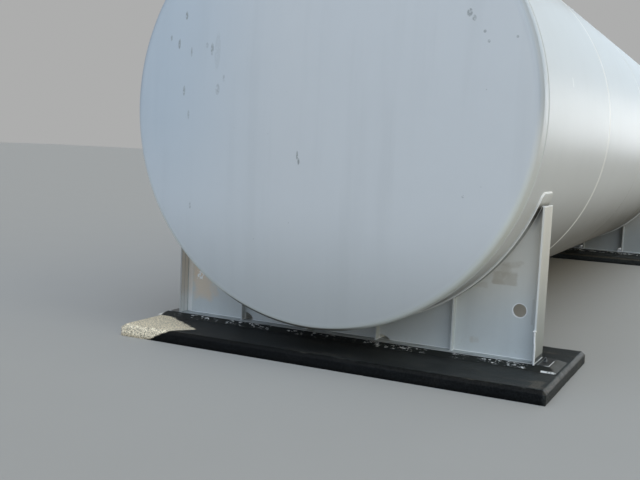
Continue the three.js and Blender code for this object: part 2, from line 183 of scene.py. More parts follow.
class StageSettings(bpy.types.PropertyGroup):
    """The camera and the lights"""
    camera_place: FloatVectorProperty(name="Camera place", default=(3.236, -12.135, 1.805), subtype="XYZ",
                                      unit="LENGTH", description="Where the camera stands")
    yaw: angle("Yaw", -26.1517, "Camera's turn to the right of the tank's axis")
    pitch: angle("Pitch", -5.9752, "Camera's tilt above the level")
    roll: angle("Roll", -2.6222, "Camera's roll")
    lens: FloatProperty(name="Lens", default=49.996, min=1.0, description="Focal length in millimetres")
    surroundings: colour("Surroundings", (0.995, 1.0, 0.995), "Pale light from all round")
    surroundings_strength: strength("Surroundings strength", 0.42, "Strength of the light from all round")
    side_light: strength("Side light", 0.334, "Low, from the right")
    side_tint: colour("Side tint", (1.0, 0.71, 0.08), "Warm tint of the side light")
    right_light: strength("Right light", 1.151, "High, from the front and right")
    right_tint: colour("Right tint", (0.74, 0.865, 1.0), "Cool tint of the right light")
    front_light: strength("Front light", 0.735, "High, from the front")
    front_tint: colour("Front tint", (0.36, 0.60, 1.0), "Cool tint of the front light")
    back_light: strength("Back light", 0.383, "Low, from behind the tank")
    back_tint: colour("Back tint", (0.61, 0.81, 1.0), "Cool tint of the back light")
    horizon_light: strength("Horizon light", 0.105, "A narrow band at the horizon, behind the tank")
    horizon_tint: colour("Horizon tint", (1.0, 0.93, 0.86), "Tint of the horizon light")


# Shader maths as expressions

def arithmetic(operation, swapped=False):
    """A method of Value that adds a Math node, with its two values swapped for a reflected form."""
    def method(self, *others):
        return self.maths(operation, *((*others, self) if swapped else (self, *others)))
    return method


class Value:
    """A socket of a finish. Arithmetic on it adds Math nodes."""
    __add__ = __radd__ = arithmetic("ADD")
    __sub__ = arithmetic("SUBTRACT")
    __rsub__ = arithmetic("SUBTRACT", swapped=True)
    __mul__ = __rmul__ = arithmetic("MULTIPLY")
    __truediv__ = arithmetic("DIVIDE")
    __pow__ = arithmetic("POWER")
    __abs__ = arithmetic("ABSOLUTE")
    most = arithmetic("MAXIMUM")

    def __init__(self, finish, socket):
        self.finish = finish
        self.socket = socket

    def maths(self, operation, *values):
        return self.finish.add("ShaderNodeMath", dict(enumerate(values)), {"operation": operation})

    def step(self, low, high):
        """0 below low, 1 above high, and smooth between them. With high under low it falls instead."""
        return self.finish.add("ShaderNodeMapRange", {"Value": self, "From Min": low, "From Max": high},
                               {"interpolation_type": "SMOOTHSTEP"})


def opaque(tone):
    """A colour as a socket takes it."""
    return tone if isinstance(tone, Value) else (*tone, 1.0)


def darker(tone, factor):
    return [channel * factor for channel in tone]


def distance(across, up):
    return (across ** 2.0 + up ** 2.0) ** 0.5


class Finish:
    """The node tree of one material, the colour laid on it so far, and what the finishes share."""

    def __init__(self, name):
        self.material = bpy.data.materials.new(name)
        self.material.use_nodes = True
        self.tree = self.material.node_tree
        self.tree.nodes.clear()
        self.tone = None
        self.place = self.add("ShaderNodeTexCoord", output="Object")
        self.axes = [self.add("ShaderNodeSeparateXYZ", {0: self.place}, output=axis) for axis in "XYZ"]

    def add(self, kind, inputs=None, settings=None, output=0):
        """Adds a node of a kind with its values, links and settings, and gives one of its outputs."""
        node = self.tree.nodes.new(kind)
        for key, value in (settings or {}).items():
            setattr(node, key, value)
        for key, value in (inputs or {}).items():
            if isinstance(value, Value):
                self.tree.links.new(value.socket, node.inputs[key])
            else:
                node.inputs[key].default_value = value
        return Value(self, node.outputs[output])

    def joined(self, x, y, z):
        return self.add("ShaderNodeCombineXYZ", {0: x, 1: y, 2: z})

    def stretched(self, *scales):
        """The place with each of its axes scaled."""
        pairs = zip(self.axes, scales)
        return self.joined(*(axis if scale == 1.0 else axis * scale for axis, scale in pairs))

    def noise(self, scale, detail=4.0, roughness=0.5, place=None):
        return self.add("ShaderNodeTexNoise", {
            "Vector": place or self.place, "Scale": scale, "Detail": detail, "Roughness": roughness})

    def waver(self, amount, *noise_settings):
        """A noise that swings to both sides of nought, by half an amount at most."""
        return (self.noise(*noise_settings) - 0.5) * amount

    def specks(self, scale):
        """Distance to the nearest of scattered points, in cells."""
        return self.add("ShaderNodeTexVoronoi", {"Vector": self.place, "Scale": scale})

    def shade(self, tone, factor):
        """A colour made lighter or darker by a factor near 1."""
        grey = self.joined(factor, factor, factor)
        return self.add("ShaderNodeMix", {0: 1.0, 6: opaque(tone), 7: grey},
                        {"data_type": "RGBA", "blend_type": "MULTIPLY"}, 2)

    def lay(self, tone, share):
        """Lays a colour over what is there, where share rises."""
        self.tone = self.add("ShaderNodeMix", {0: share, 6: opaque(self.tone), 7: opaque(tone)},
                             {"data_type": "RGBA"}, 2)

    def bump(self, height, reach, amount=1.0, under=None):
        inputs = {"Height": height, "Distance": reach, "Strength": amount}
        if under:
            inputs["Normal"] = under
        return self.add("ShaderNodeBump", inputs)

    def patch(self, across, up, centre, half, soft=0.35):
        """1 inside an upright ellipse and 0 outside it, with a soft edge."""
        reach = ((across - centre[0]) / half[0]) ** 2.0 + ((up - centre[1]) / half[1]) ** 2.0
        return reach.step(1.0 + soft, 1.0 - soft)

    def block(self, across, up, low, high, soft=0.006):
        """1 inside an upright rectangle and 0 outside it."""
        wide = across.step(low[0] - soft, low[0] + soft) * across.step(high[0] + soft, high[0] - soft)
        tall = up.step(low[1] - soft, low[1] + soft) * up.step(high[1] + soft, high[1] - soft)
        return wide * tall

    def by_height(self, start, end):
        """0 at one height and 1 at another, both in tank radii above the tank's axis."""
        return self.axes[2].step(AXIS_HEIGHT + start * TANK_RADIUS, AXIS_HEIGHT + end * TANK_RADIUS)

    def from_axis(self):
        """Distance from the tank's axis."""
        return distance(self.axes[0], self.axes[2] - AXIS_HEIGHT)

    def on_front(self):
        """1 before the tank's middle and 0 behind it, since both saddles share a finish."""
        return self.axes[1].step(0.1, -0.1)

    def on_rear(self):
        return self.axes[1].step(-0.1, 0.1)

    def surface(self, roughness, normal=None, metallic=0.0, specular=0.5):
        """Ends the finish: its colour so far on a surface of this roughness."""
        inputs = {"Base Color": opaque(self.tone), "Roughness": roughness, "Metallic": metallic,
                  "Specular IOR Level": specular}
        if normal:
            inputs["Normal"] = normal
        shader = self.add("ShaderNodeBsdfPrincipled", inputs)
        output = self.tree.nodes.new("ShaderNodeOutputMaterial")
        self.tree.links.new(shader.socket, output.inputs["Surface"])


# Finishes

# Marks on the front head: middle across and height, half width and half height, and how dark
HEAD_DRIPS = (
    ((-1.265, 2.866), (0.013, 0.034), 0.75),
    ((-1.423, 2.682), (0.011, 0.026), 0.55),
    ((-1.330, 2.628), (0.012, 0.042), 0.70),
    ((-1.190, 2.560), (0.010, 0.040), 0.50),
    ((-0.972, 2.578), (0.014, 0.050), 0.60),
    ((-0.915, 2.560), (0.030, 0.150), 0.14),
    ((-1.027, 2.611), (0.013, 0.022), 0.30),
    ((-1.257, 2.231), (0.012, 0.042), 0.60),
    ((-0.898, 2.244), (0.020, 0.046), 0.40),
    ((-0.838, 2.335), (0.010, 0.030), 0.35),
    ((-1.201, 2.029), (0.010, 0.038), 0.40),
    ((-1.176, 1.252), (0.010, 0.030), 0.50),
    ((1.229, 2.83), (0.020, 0.030), 0.70),
    ((1.265, 2.79), (0.014, 0.022), 0.60),
    ((1.349, 2.694), (0.011, 0.012), 0.60),
    ((1.384, 2.623), (0.011, 0.012), 0.60),
    ((1.585, 2.656), (0.010, 0.010), 0.50),
    ((-0.106, 1.730), (0.008, 0.034), 0.80),
    ((-0.092, 1.680), (0.009, 0.026), 0.80),
    ((1.263, 1.485), (0.010, 0.012), 0.50),
    ((1.520, 1.106), (0.014, 0.014), 0.45),
)
# From the weld: where a head's rim ends, and where the colour of its knuckle has faded and is whole
RIM_DEPTH = 0.130
KNUCKLE_DEPTHS = (0.2035, 0.188)
# Pairs of places between which a look comes in, none of it at the first and all of it at the second.
# Across the tank and along it
SKY_TINT_ACROSS = (-0.1, -1.6)
DARK_RIM = (0.7, 0.2)
SHADED_SEAT_CORNERS = (1.60, 1.68)
WELDS_IN_FLANGES = (1.70, 1.66)
WELDS_ON_FLANGES = (1.705, 1.712)
LIT_LEFT_END = (-1.655, -1.668)
SHADED_LEFT_FACE = (-1.69, -1.71)
SUNLIT_END = (-1.72, -1.78)
SHADED_WET_FRONT = (1.97, 1.93)
FLAKED_GROUT = (1.76, 1.74)
SHADED_POOL_ACROSS = (1.1, -0.5)
SHADED_POOL_ALONG = (-4.2, -4.7)
LESS_DARKENED_ENDS = (4.70, 5.15)
# Heights
SKY_LIT_FOOT = (0.95, 0.35)
SPLASHED_FOOT = (0.36, 0.15)
WARM_BOUNCE_ABOVE = (0.25, 0.40)
BRUSHED_ABOVE = (0.30, 0.60)
SHADE_FALL = (1.45, -0.05)
WELD_FOOT = (0.20, 0.15)
FLAKED_SLOPE = (0.112, 0.120)
WEAR_TIP_HIGHLIGHT = (1.38, 1.46)
WEAR_SHADE_BELOW = (1.450, 1.385)
WEAR_DARKEST = (1.20, 1.34)
# A run of paint on the front strake: place along the tank and height, from its lowest corner to its highest
SHELL_RUN = ((-4.53, 2.395), (-4.50, 2.469))
# Stains on the front web with a straight foot: lowest and highest corner, across and height, and how strong
SPLASHES = (
    ((1.315, 0.742), (1.520, 0.850), 0.62),
    ((1.315, 0.742), (1.420, 0.790), 0.35),
    ((1.175, 0.700), (1.280, 0.750), 0.30),
    ((1.154, 0.221), (1.186, 0.279), 0.40),
    ((1.192, 0.230), (1.227, 0.272), 0.30),
)
# Stains with soft edges: middle and half size, across and height, and how strong
STAINS = (
    ((1.400, 0.865), (0.060, 0.065), 0.50),
    ((1.455, 0.915), (0.080, 0.025), 0.45),
    ((1.530, 0.935), (0.035, 0.018), 0.35),
)
# Dried earth on the web's left end: lowest and highest corner, across and height, and how strong
LEFT_STAINS = (
    ((-1.720, 0.480), (-1.570, 0.680), 0.60),
    ((-1.650, 0.275), (-1.450, 0.640), 0.55),
    ((-1.620, 0.320), (-1.380, 0.600), 0.45),
)
WEB_HOLE = (1.557, 0.546)
WEB_HOLE_RADIUS = 0.055
# Where paint has peeled from the front web's left end
WEB_CHIPS = ((-1.610, 0.475), (-1.535, 0.555))
# The last rusty stretch of weld at the front web's right end
RUSTY_SEAM = ((1.655, 0.44), (1.672, 0.65))
# How high the dark band stands at the foot of the flanges
FLANGE_FOOT = 0.188
# Corners of the dry patch, lit by painted sunlight, on the front plinth's top, across and along the tank,
# and which way is dry and lit from the lines through them
SUN_PATCH_CORNER = (-1.237, -5.500)
SUN_PATCH_SIDES = ((-0.560, -0.828), (-0.807, 0.593))
# A paler patch near the front plinth's right corner, across and along the tank
PALER_CONCRETE = ((1.825, -5.66), (1.905, -5.43))
# Where white paint runs along the lip of the front grout bed, across
PAINTED_LIP = (1.800, 1.918)


def rain_streaks(finish, across, down):
    """Faint upright streaks, from a place across the fall of the water and one down it."""
    wide = finish.noise(1.0, 3.0, 0.55, finish.joined(across * 5.0, 0.0, down * 0.35))
    fine = finish.noise(1.0, 3.0, 0.6, finish.joined(across * 24.0, 3.0, down * 0.9))
    return wide.step(0.46, 0.72) * 0.6 + (fine.step(0.58, 0.80) * wide.step(0.45, 0.65)) * 0.4


def seam_band(finish, places, half_width, swing=0.0):
    """1 on the welds at these places along the tank, with an edge that wavers."""
    along = finish.axes[1]
    if swing:
        along = along + finish.waver(swing, 9.0, 4.0, 0.7)
    outside, inside = half_width * 1.35, half_width * 0.9
    return reduce(Value.most, [abs(along - place).step(outside, inside) for place in places])


def tank_coat(finish, colours, across, down, streaks):
    """White paint, clouded by weather and faintly streaked by rain."""
    cloud = finish.noise(0.9, 4.0, 0.6)
    mottle = finish.noise(7.0, 5.0, 0.65)
    finish.tone = finish.shade(colours.white, 0.955 + cloud * 0.06 + mottle * 0.03)
    speck = finish.specks(9.0).step(0.055, 0.035) * finish.noise(2.3, 2.0).step(0.56, 0.62)
    finish.lay(colours.rain, speck * 0.4)
    finish.lay(colours.rain, rain_streaks(finish, across, down) * streaks)


def tank_surface(finish):
    """Semi-gloss, over the faint waves of rolled plate and the paint's own skin."""
    waves = finish.bump(finish.noise(1.1, 2.0, 0.4), 0.020, 0.35)
    skin = finish.bump(finish.noise(260.0, 2.0, 0.5), 0.0004, 0.25, waves)
    finish.surface(0.36 + finish.noise(7.0, 5.0, 0.65) * 0.10, skin)


def head_paint(finish, colours):
    """The heads' paint: rainwater drips, painted shade low down and on the rims, painted sky tint at upper left.
    """
    x, y, z = finish.axes
    weld = abs(HEAD_SEAMS[0])
    tank_coat(finish, colours, x, z, 0.10)
    # Painted shade: the heads darken towards the ground
    finish.lay(colours.rain, finish.by_height(-0.38, -0.98) * 0.52)
    # Painted sky tint: bluer towards the left, most near the top
    finish.lay(colours.cool, x.step(*SKY_TINT_ACROSS) * (0.08 + finish.by_height(-0.75, 0.10) * 0.17))
    knuckle = abs(y).step(*(weld + depth for depth in KNUCKLE_DEPTHS))
    finish.lay(colours.pale_green, knuckle * finish.by_height(0.0, -0.45) * 0.35)
    rim = abs(y).step(weld, weld + RIM_DEPTH)
    # Painted shade on the rims above the middle
    finish.lay(colours.slate, knuckle * rim * (finish.by_height(-0.12, 0.10) * 0.52))
    finish.lay(colours.stripe, seam_band(finish, HEAD_SEAMS, 0.010) * 0.4)
    # Painted shade: the lowest rim, facing down, is laid dark
    outermost = finish.from_axis().step(TANK_RADIUS - 0.032, TANK_RADIUS - 0.018)
    lowest_shade = outermost * finish.by_height(-0.84, -0.93) * x.step(*DARK_RIM)
    finish.lay(darker(colours.grime, 0.4), lowest_shade * 0.9)
    ragged = finish.noise(60.0, 3.0).step(0.30, 0.55)
    for centre, half, dark in HEAD_DRIPS:
        finish.lay(colours.rain, finish.patch(x, z, centre, half) * (ragged * dark))
    tank_surface(finish)


def shell_paint(finish, colours):
    """The shell's paint, brown underneath with dirt and a painted shade, and brushed white over the welds."""
    x, y, z = finish.axes
    round_it = abs(x).maths("ARCTAN2", abs(x), z - AXIS_HEIGHT) * TANK_RADIUS
    tank_coat(finish, colours, y * 0.6, round_it, 0.04)
    # Grime and painted shade darken the underside, starting lower towards the ends
    between = finish.by_height(-0.27, -0.73)
    at_ends = finish.by_height(-0.53, -0.92)
    low = between + (at_ends - between) * abs(y).step(*LESS_DARKENED_ENDS)
    patchy = finish.noise(5.0, 5.0, 0.65, finish.stretched(1.0, 0.4, 1.0))
    finish.lay(colours.grime, low * (0.80 + patchy * 0.26))
    brushed = 0.72 + finish.noise(1.0, 3.0, 0.6, finish.joined(y * 160.0, 2.0, round_it * 1.5)) * 0.4
    finish.lay(colours.stripe, seam_band(finish, GIRTH_SEAMS[:1], 0.040, 0.022) * brushed)
    worn = (finish.by_height(-0.25, 0.30) * 0.60 + 0.05) * brushed
    finish.lay(colours.stripe, seam_band(finish, GIRTH_SEAMS[1:], 0.032, 0.022) * worn)
    finish.lay(colours.stripe, seam_band(finish, HEAD_SEAMS, 0.012) * 0.3)
    finish.lay(colours.stripe, finish.block(y, z, *SHELL_RUN, 0.008) * 0.6)
    tank_surface(finish)


def fitting_paint(finish, colours):
    """The tank's paint on its fittings."""
    x, y, z = finish.axes
    tank_coat(finish, colours, x + y, z, 0.12)
    tank_surface(finish)


def weld_paint(finish, colours):
    """The brushed coat on the girth welds, over their ripples."""
    ripples = finish.noise(120.0, 2.0, 0.5)
    dirt = finish.noise(14.0, 4.0, 0.6).step(0.55, 0.8)
    finish.tone = finish.shade(colours.stripe, 0.95 + ripples * 0.08)
    finish.lay(colours.rain, dirt * 0.12)
    past_first = finish.axes[1].step(GIRTH_SEAMS[0] + 0.3, GIRTH_SEAMS[0] + 0.6)
    # Grime and painted shade darken the welds' lower part past the first seam, as on the shell
    finish.lay(colours.grime, finish.by_height(0.0, -0.70) * past_first * 0.9)
    finish.surface(0.38 + dirt * 0.2, finish.bump(ripples, 0.0015, 0.6))


def plain_weld_paint(finish, colours, dirt=0.25, tips=None):
    """Welds under the same coat as the plates beside them, dirty underneath."""
    ripples = finish.noise(120.0, 2.0, 0.5)
    finish.tone = finish.shade(colours.white, 1.0 + ripples * 0.1)
    finish.lay(colours.rain, finish.by_height(-0.2, -0.9) * dirt if tips is None else dirt)
    if tips:
        finish.lay(colours.stripe, tips)
    finish.surface(0.40 + ripples * 0.1, finish.bump(ripples, 0.0012, 0.5))


def wear_weld_paint(finish, colours):
    """Welds round the wear plates, white only at their ends, a brushed coat and a painted highlight."""
    plain_weld_paint(finish, colours, 0.18, finish.axes[2].step(*WEAR_TIP_HIGHLIGHT))


def saddle_coat(finish, colours):
    """Satin paint, warm above, paler and cooler below as a painted sky reflection."""
    x, y, z = finish.axes
    mottle = finish.noise(6.0, 5.0, 0.62)
    finish.tone = finish.shade(colours.saddle, 0.95 + mottle * 0.08)
    # Painted sky reflection: paler and cooler towards the foot
    finish.lay(finish.shade(colours.washed, 0.96 + mottle * 0.08), z.step(*SKY_LIT_FOOT) * 0.9)
    finish.lay(colours.rain, rain_streaks(finish, x + y, z) * 0.10)


def saddle_surface(finish):
    """Satin, over the paint's own skin."""
    mottle = finish.noise(6.0, 5.0, 0.62)
    skin = finish.bump(finish.noise(240.0, 2.0, 0.5), 0.0004, 0.3, finish.bump(mottle, 0.0015, 0.3))
    finish.surface(0.42 + mottle * 0.14, skin)


def brushed_edges(finish):
    """1 on the outer edges of the flanges and ribs, where the paint was brushed on thicker."""
    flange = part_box("front_saddle_right_flange")
    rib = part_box("front_saddle_outer_rib_1")
    middle = (flange[0].y + flange[1].y) / 2
    off_middle = abs(abs(finish.axes[1]) - abs(middle))
    reaches = ((flange[1].y - flange[0].y) / 2, abs(rib[0].y - middle))
    return reduce(Value.most, [abs(off_middle - reach).step(0.0030, 0.0018) for reach in reaches])


def saddle_paint(finish, colours):
    """The saddles' paint, with splashed earth at the foot, old stains, a rusty weld end, and painted light and
    shade.
    """
    x, y, z = finish.axes
    fine = finish.noise(45.0, 4.0, 0.6)
    ragged = finish.noise(9.0, 5.0, 0.7)
    across = x + finish.waver(0.05, 30.0, 4.0, 0.7)
    up = z + finish.waver(0.05, 24.0, 4.0, 0.7, finish.joined(x, 7.0, z))
    on_front = finish.on_front()
    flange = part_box("front_saddle_right_flange")
    saddle_coat(finish, colours)
    for low, high, amount in SPLASHES:
        shape = finish.block(across, up, low, high, 0.012) * z.step(low[1] - 0.003, low[1] + 0.003)
        finish.lay(colours.beige, shape * ragged.step(0.22, 0.50) * (on_front * amount))
    for centre, half, amount in STAINS:
        shape = finish.patch(across, up, centre, half, 0.8) * ragged.step(0.25, 0.55)
        finish.lay(colours.beige, shape * (on_front * amount))
    drifted = across + finish.waver(0.22, 6.0, 4.0, 0.6)
    settled = up + finish.waver(0.12, 8.0, 4.0, 0.6, finish.joined(x, 4.0, z * 0.4))
    for low, high, amount in LEFT_STAINS:
        shape = finish.block(drifted, settled, low, high, 0.030) * ragged.step(0.15, 0.55)
        finish.lay(colours.earth, shape * (on_front * amount))
    finish.lay(colours.stripe, finish.block(across, up, *WEB_CHIPS) * fine.step(0.46, 0.50) * on_front)
    # The rear saddle is the front one turned about
    turned = x * (on_front * 2.0 - 1.0)
    # Painted warm bounce light: the left ends are laid near white and warm
    left = turned.step(*LIT_LEFT_END)
    finish.lay(colours.stripe, left * 0.85)
    finish.lay(colours.earth, left * on_front * z.step(*WARM_BOUNCE_ABOVE) * 0.40)
    from_hole = distance(turned - WEB_HOLE[0], z - WEB_HOLE[1]) - WEB_HOLE_RADIUS
    finish.lay(colours.stripe, from_hole.step(0.010, 0.007))
    seat = AXIS_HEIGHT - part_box("front_saddle_wear_plate")[0].z
    # Painted shade in the corner between the wear plate and the flange
    corner = finish.from_axis().step(seat + 0.050, seat + 0.006) * abs(x).step(*SHADED_SEAT_CORNERS)
    finish.lay(darker(colours.grime, 0.4), corner * 0.85)
    finish.lay(colours.beige, z.step(*SPLASHED_FOOT) * fine.step(0.56, 0.70) * 0.20)
    outer = abs(x).step(flange[1].x - 0.0015, flange[1].x - 0.0002)
    drawn = finish.noise(1.0, 3.0, 0.6, finish.stretched(1.0, 42.0, 1.2))
    # Painted shade: the flanges' outer faces darken downwards, the whole saddle slightly, with real streaks drawn
    # in
    falling_shade = z.step(*SHADE_FALL)
    finish.lay(colours.rain, outer * (falling_shade * 0.75 + 0.04 + drawn * 0.14) + falling_shade * 0.05)
    finish.lay(colours.plate, z.step(FLANGE_FOOT + 0.004, FLANGE_FOOT - 0.010) * outer * 0.85)
    edges = brushed_edges(finish)
    finish.lay(colours.stripe, edges * z.step(*BRUSHED_ABOVE) * 0.30)
    # Painted shade on the left flanges' edges
    finish.lay(colours.rain, edges * turned.step(*SHADED_LEFT_FACE) * 0.75)
    # Painted highlight: the flanges' tops are laid near white
    finish.lay(colours.stripe, z.step(flange[1].z - 0.012, flange[1].z - 0.006))
    finish.lay(colours.rust, finish.block(x, z, *RUSTY_SEAM) * on_front * 0.16)
    speck = finish.specks(16.0).step(0.06, 0.035) * finish.noise(3.0, 2.0).step(0.58, 0.64)
    finish.lay(colours.rust, speck * 0.5)
    finish.lay(colours.grime, finish.on_rear() * (0.36 + ragged * 0.12))
    saddle_surface(finish)


def wear_plate_paint(finish, colours):
    """The wear plates' paint, with a painted highlight along the edges and a painted shade where it faces down.
    """
    z = finish.axes[2]
    below = AXIS_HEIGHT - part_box("front_saddle_wear_plate")[0].z
    outer = finish.from_axis().step(below - 0.0012, below - 0.0003)
    ragged = finish.noise(12.0, 5.0, 0.7)
    saddle_coat(finish, colours)
    finish.tone = finish.shade(finish.tone, 0.92 + ragged * 0.16)
    # Painted highlight: the plate is laid near white, brightest at its ends, so that its edges shine
    tip_highlight = z.step(*WEAR_TIP_HIGHLIGHT)
    finish.lay(colours.stripe, 0.70 + tip_highlight * 0.25)
    # Painted shade on the outer face, darkest where it faces down
    finish.lay(colours.rain, outer * (0.46 + ragged * 0.2 - tip_highlight * 0.14))
    under = outer * z.step(*WEAR_SHADE_BELOW) * (0.36 + z.step(*WEAR_DARKEST) * 0.62)
    finish.lay(darker(colours.grime, 0.45), under)
    saddle_surface(finish)


def saddle_weld_paint(finish, colours):
    """The saddles' fillet welds, painted with the plates."""
    x, y, z = finish.axes
    ripples = finish.noise(120.0, 2.0, 0.5)
    saddle_coat(finish, colours)
    finish.lay(colours.stripe, z.step(*WELD_FOOT) * abs(x).step(*WELDS_IN_FLANGES) * 0.6)
    finish.lay(colours.rain, abs(x).step(*WELDS_ON_FLANGES) * 0.6)
    finish.surface(0.42 + ripples * 0.1, finish.bump(ripples, 0.0015, 0.6))


def base_plate_paint(finish, colours):
    """Painted along the web, where water lies on it, dirty at its ends, with a painted highlight on its top
    edges.
    """
    x, y, z = finish.axes
    low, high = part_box("front_base_plate")
    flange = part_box("front_saddle_right_flange")[1].x
    middle = (low.y + high.y) / 2
    grain = finish.noise(70.0, 4.0, 0.6)
    broad = finish.noise(4.0, 4.0, 0.6)
    drawn = finish.noise(14.0, 4.0, 0.65, finish.stretched(0.35, 2.0, 1.0))
    from_side = abs(abs(y) - abs(middle)) - (high.y - low.y) / 2
    from_end = abs(x) - high.x
    top = z.step(high.z - 0.0022, high.z - 0.0006)
    inboard = abs(x).step(flange + 0.012, flange - 0.006)
    finish.tone = finish.shade(colours.plate, 0.6 + grain * 0.8)
    finish.lay(colours.washed, top * inboard * (drawn.step(0.30, 0.62) * 0.65 + 0.15))
    # Painted highlight along the top edges, strongest at the outer corners and before the web
    arris_highlight = from_side.most(from_end).step(-0.0075, -0.0035) * top
    at_corner = abs(x).step(flange + 0.060, flange + 0.105) * abs(abs(y) - abs(low.y)).step(0.24, 0.18)
    before_web = abs(x).step(flange, flange - 0.030) * (broad.step(0.38, 0.50) * 0.45 + 0.15)
    finish.lay(colours.stripe, arris_highlight * (at_corner * 0.75 + before_web).step(0.0, 1.0))
    toe = abs(abs(x) - (flange + 0.030)).step(0.0055, 0.002) * top
    finish.lay(colours.washed, toe * 0.22)
    finish.surface(0.30 + broad * 0.25, finish.bump(grain, 0.0012, 0.4))


def plinth_concrete(finish, colours):
    """Concrete, wet and darkened by a painted shade over most of its top, damp along its worn edges,
    and drier and lit by painted sunlight at its left end.
    """
    x, y, z = finish.axes
    low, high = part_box("front_plinth")
    on_front = finish.on_front()
    grain = finish.noise(90.0, 5.0, 0.65)
    broad = finish.noise(3.2, 5.0, 0.6)
    ragged = finish.waver(0.10, 16.0, 5.0, 0.7)
    # Painted sunlight: a patch at the left end, bounded by the tank's shadow, on drier concrete
    back, front = ((x - SUN_PATCH_CORNER[0]) * side[0] + (y - SUN_PATCH_CORNER[1]) * side[1] for side in SUN_PATCH_SIDES)
    down = (high.z - z) * 1.6
    corner = (back + ragged).step(-0.012, 0.012) * (front - down + ragged).step(-0.012, 0.012)
    dry_and_sunlit = corner.most((x + ragged).step(*SUNLIT_END)) * on_front
    chamfer = z.step(high.z - 0.001, high.z - 0.005) * z.step(high.z - 0.034, high.z - 0.026)
    paler = finish.block(x, y, *PALER_CONCRETE, 0.012) * 0.7
    drawn = finish.noise(6.0, 5.0, 0.65, finish.stretched(0.4, 1.6, 1.0)).step(0.48, 0.66)
    blotched = finish.noise(11.0, 5.0, 0.7, finish.stretched(0.7, 1.0, 1.0)).step(0.50, 0.62)
    damp = (chamfer * 0.65 + paler + drawn * (0.30 + blotched * 0.45)).step(0.0, 1.0)
    # Painted shade: the wet concrete is laid dark all over
    finish.tone = colours.wet_concrete
    finish.lay(colours.damp_concrete, damp)
    # Painted shade: darker towards the left of the top, among real puddles
    pooled_and_shaded = x.step(*SHADED_POOL_ACROSS) * y.step(*SHADED_POOL_ALONG)
    puddles = finish.noise(2.4, 4.0, 0.6, finish.stretched(0.5, 1.3, 1.0)).step(0.52, 0.60)
    finish.lay(colours.film, (pooled_and_shaded * 0.60).most(puddles * 0.35))
    # The wet front face, darkened further as a painted shade
    front_face = abs(y).step(abs(low.y) - 0.030, abs(low.y) - 0.024) * on_front
    finish.lay(colours.film, front_face * x.step(*SHADED_WET_FRONT) * (0.75 + broad * 0.25))
    finish.lay(colours.dry_concrete, dry_and_sunlit * (0.75 + broad * 0.3))
    finish.tone = finish.shade(finish.tone, 0.35 + grain.step(0.32, 0.68) * 1.3)
    pits = finish.specks(38.0).step(0.20, 0.12) * broad.step(0.38, 0.50)
    finish.lay(colours.film, pits * 0.6)
    rough = finish.bump(grain, 0.006, 0.9, finish.bump(finish.noise(22.0, 4.0, 0.6), 0.010, 0.6))
    finish.surface(0.38 + dry_and_sunlit * 0.45 + grain * 0.12, rough, specular=0.10)


def grout_finish(finish, colours):
    """Dark grout, drier at its ends and lit by painted sunlight at its left end,
    spattered along its lip with flakes of the saddle's white paint.
    """
    x, y, z = finish.axes
    low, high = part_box("front_grout_bed")
    grain = finish.noise(110.0, 5.0, 0.65)
    broad = finish.noise(5.0, 4.0, 0.6)
    ragged = (broad - 0.5) * 0.04
    finish.tone = finish.shade(colours.grout, 0.7 + grain * 0.6)
    slope = x - (high.z - z) * 2.0
    right = (slope + ragged * 0.3).step(high.x - 0.075, high.x - 0.068)
    finish.lay(colours.damp_concrete, right * (0.45 + grain * 0.5))
    # Painted sunlight on drier grout at the left end
    left = (x + ragged).step(low.x + 0.055, low.x + 0.035) * finish.on_front()
    finish.lay(colours.pale_grout, left * 0.95)
    flakes = finish.noise(44.0, 5.0, 0.75, finish.stretched(0.5, 1.0, 1.0)).step(0.555, 0.585)
    clusters = finish.noise(2.6, 3.0, 0.6, finish.joined(x, 0.0, finish.on_rear())).step(0.46, 0.52)
    on_slope = abs(x).step(*FLAKED_GROUT) * z.step(*FLAKED_SLOPE) * z.step(high.z, high.z - 0.004)
    finish.lay(colours.stripe, flakes * clusters * on_slope * 0.95)
    lip = finish.block(x, z, (PAINTED_LIP[0], low.z - 0.01), (PAINTED_LIP[1], low.z + 0.010), 0.003)
    lip = lip * y.step(low.y + 0.030, low.y + 0.022) * finish.noise(50.0, 3.0, 0.6).step(0.36, 0.50)
    finish.lay(colours.stripe, lip * 0.85)
    rough = finish.bump(grain, 0.003, 0.7, finish.bump(broad, 0.01, 0.5))
    finish.surface(0.40 + broad * 0.3, rough, specular=0.25)


def zinc_finish(finish, colours):
    """Bright zinc with its spangle, rusty in places."""
    dull = finish.noise(30.0, 4.0, 0.6)
    finish.tone = finish.shade(colours.zinc, 0.8 + finish.specks(160.0) * 0.3)
    finish.lay(colours.rust, dull.step(0.60, 0.75) * 0.5)
    finish.surface(0.38 + dull * 0.25, finish.bump(dull, 0.0006, 0.4), metallic=0.85)


def dull_zinc(finish, colours):
    """Zinc gone grey, with dirt in it, on the anchor bolts."""
    dull = finish.noise(60.0, 4.0, 0.6)
    finish.tone = darker(colours.zinc, 0.45)
    finish.lay(colours.plate, dull.step(0.40, 0.62))
    finish.surface(0.55 + dull * 0.2, finish.bump(dull, 0.0008, 0.5), metallic=0.3)


def lug_paint(finish, colours):
    """White paint on the earth lug, scuffed by its bolt."""
    scuff = finish.noise(90.0, 4.0, 0.6)
    finish.tone = colours.stripe
    finish.lay(colours.zinc, scuff.step(0.55, 0.7) * 0.5)
    finish.surface(0.4 + scuff * 0.2, finish.bump(scuff, 0.0005, 0.4))


def gasket_finish(finish, colours):
    grain = finish.noise(200.0, 3.0)
    finish.tone = finish.shade(colours.rubber, 0.8 + grain * 0.5)
    finish.surface(0.7 + grain * 0.2, finish.bump(grain, 0.0004, 0.5))


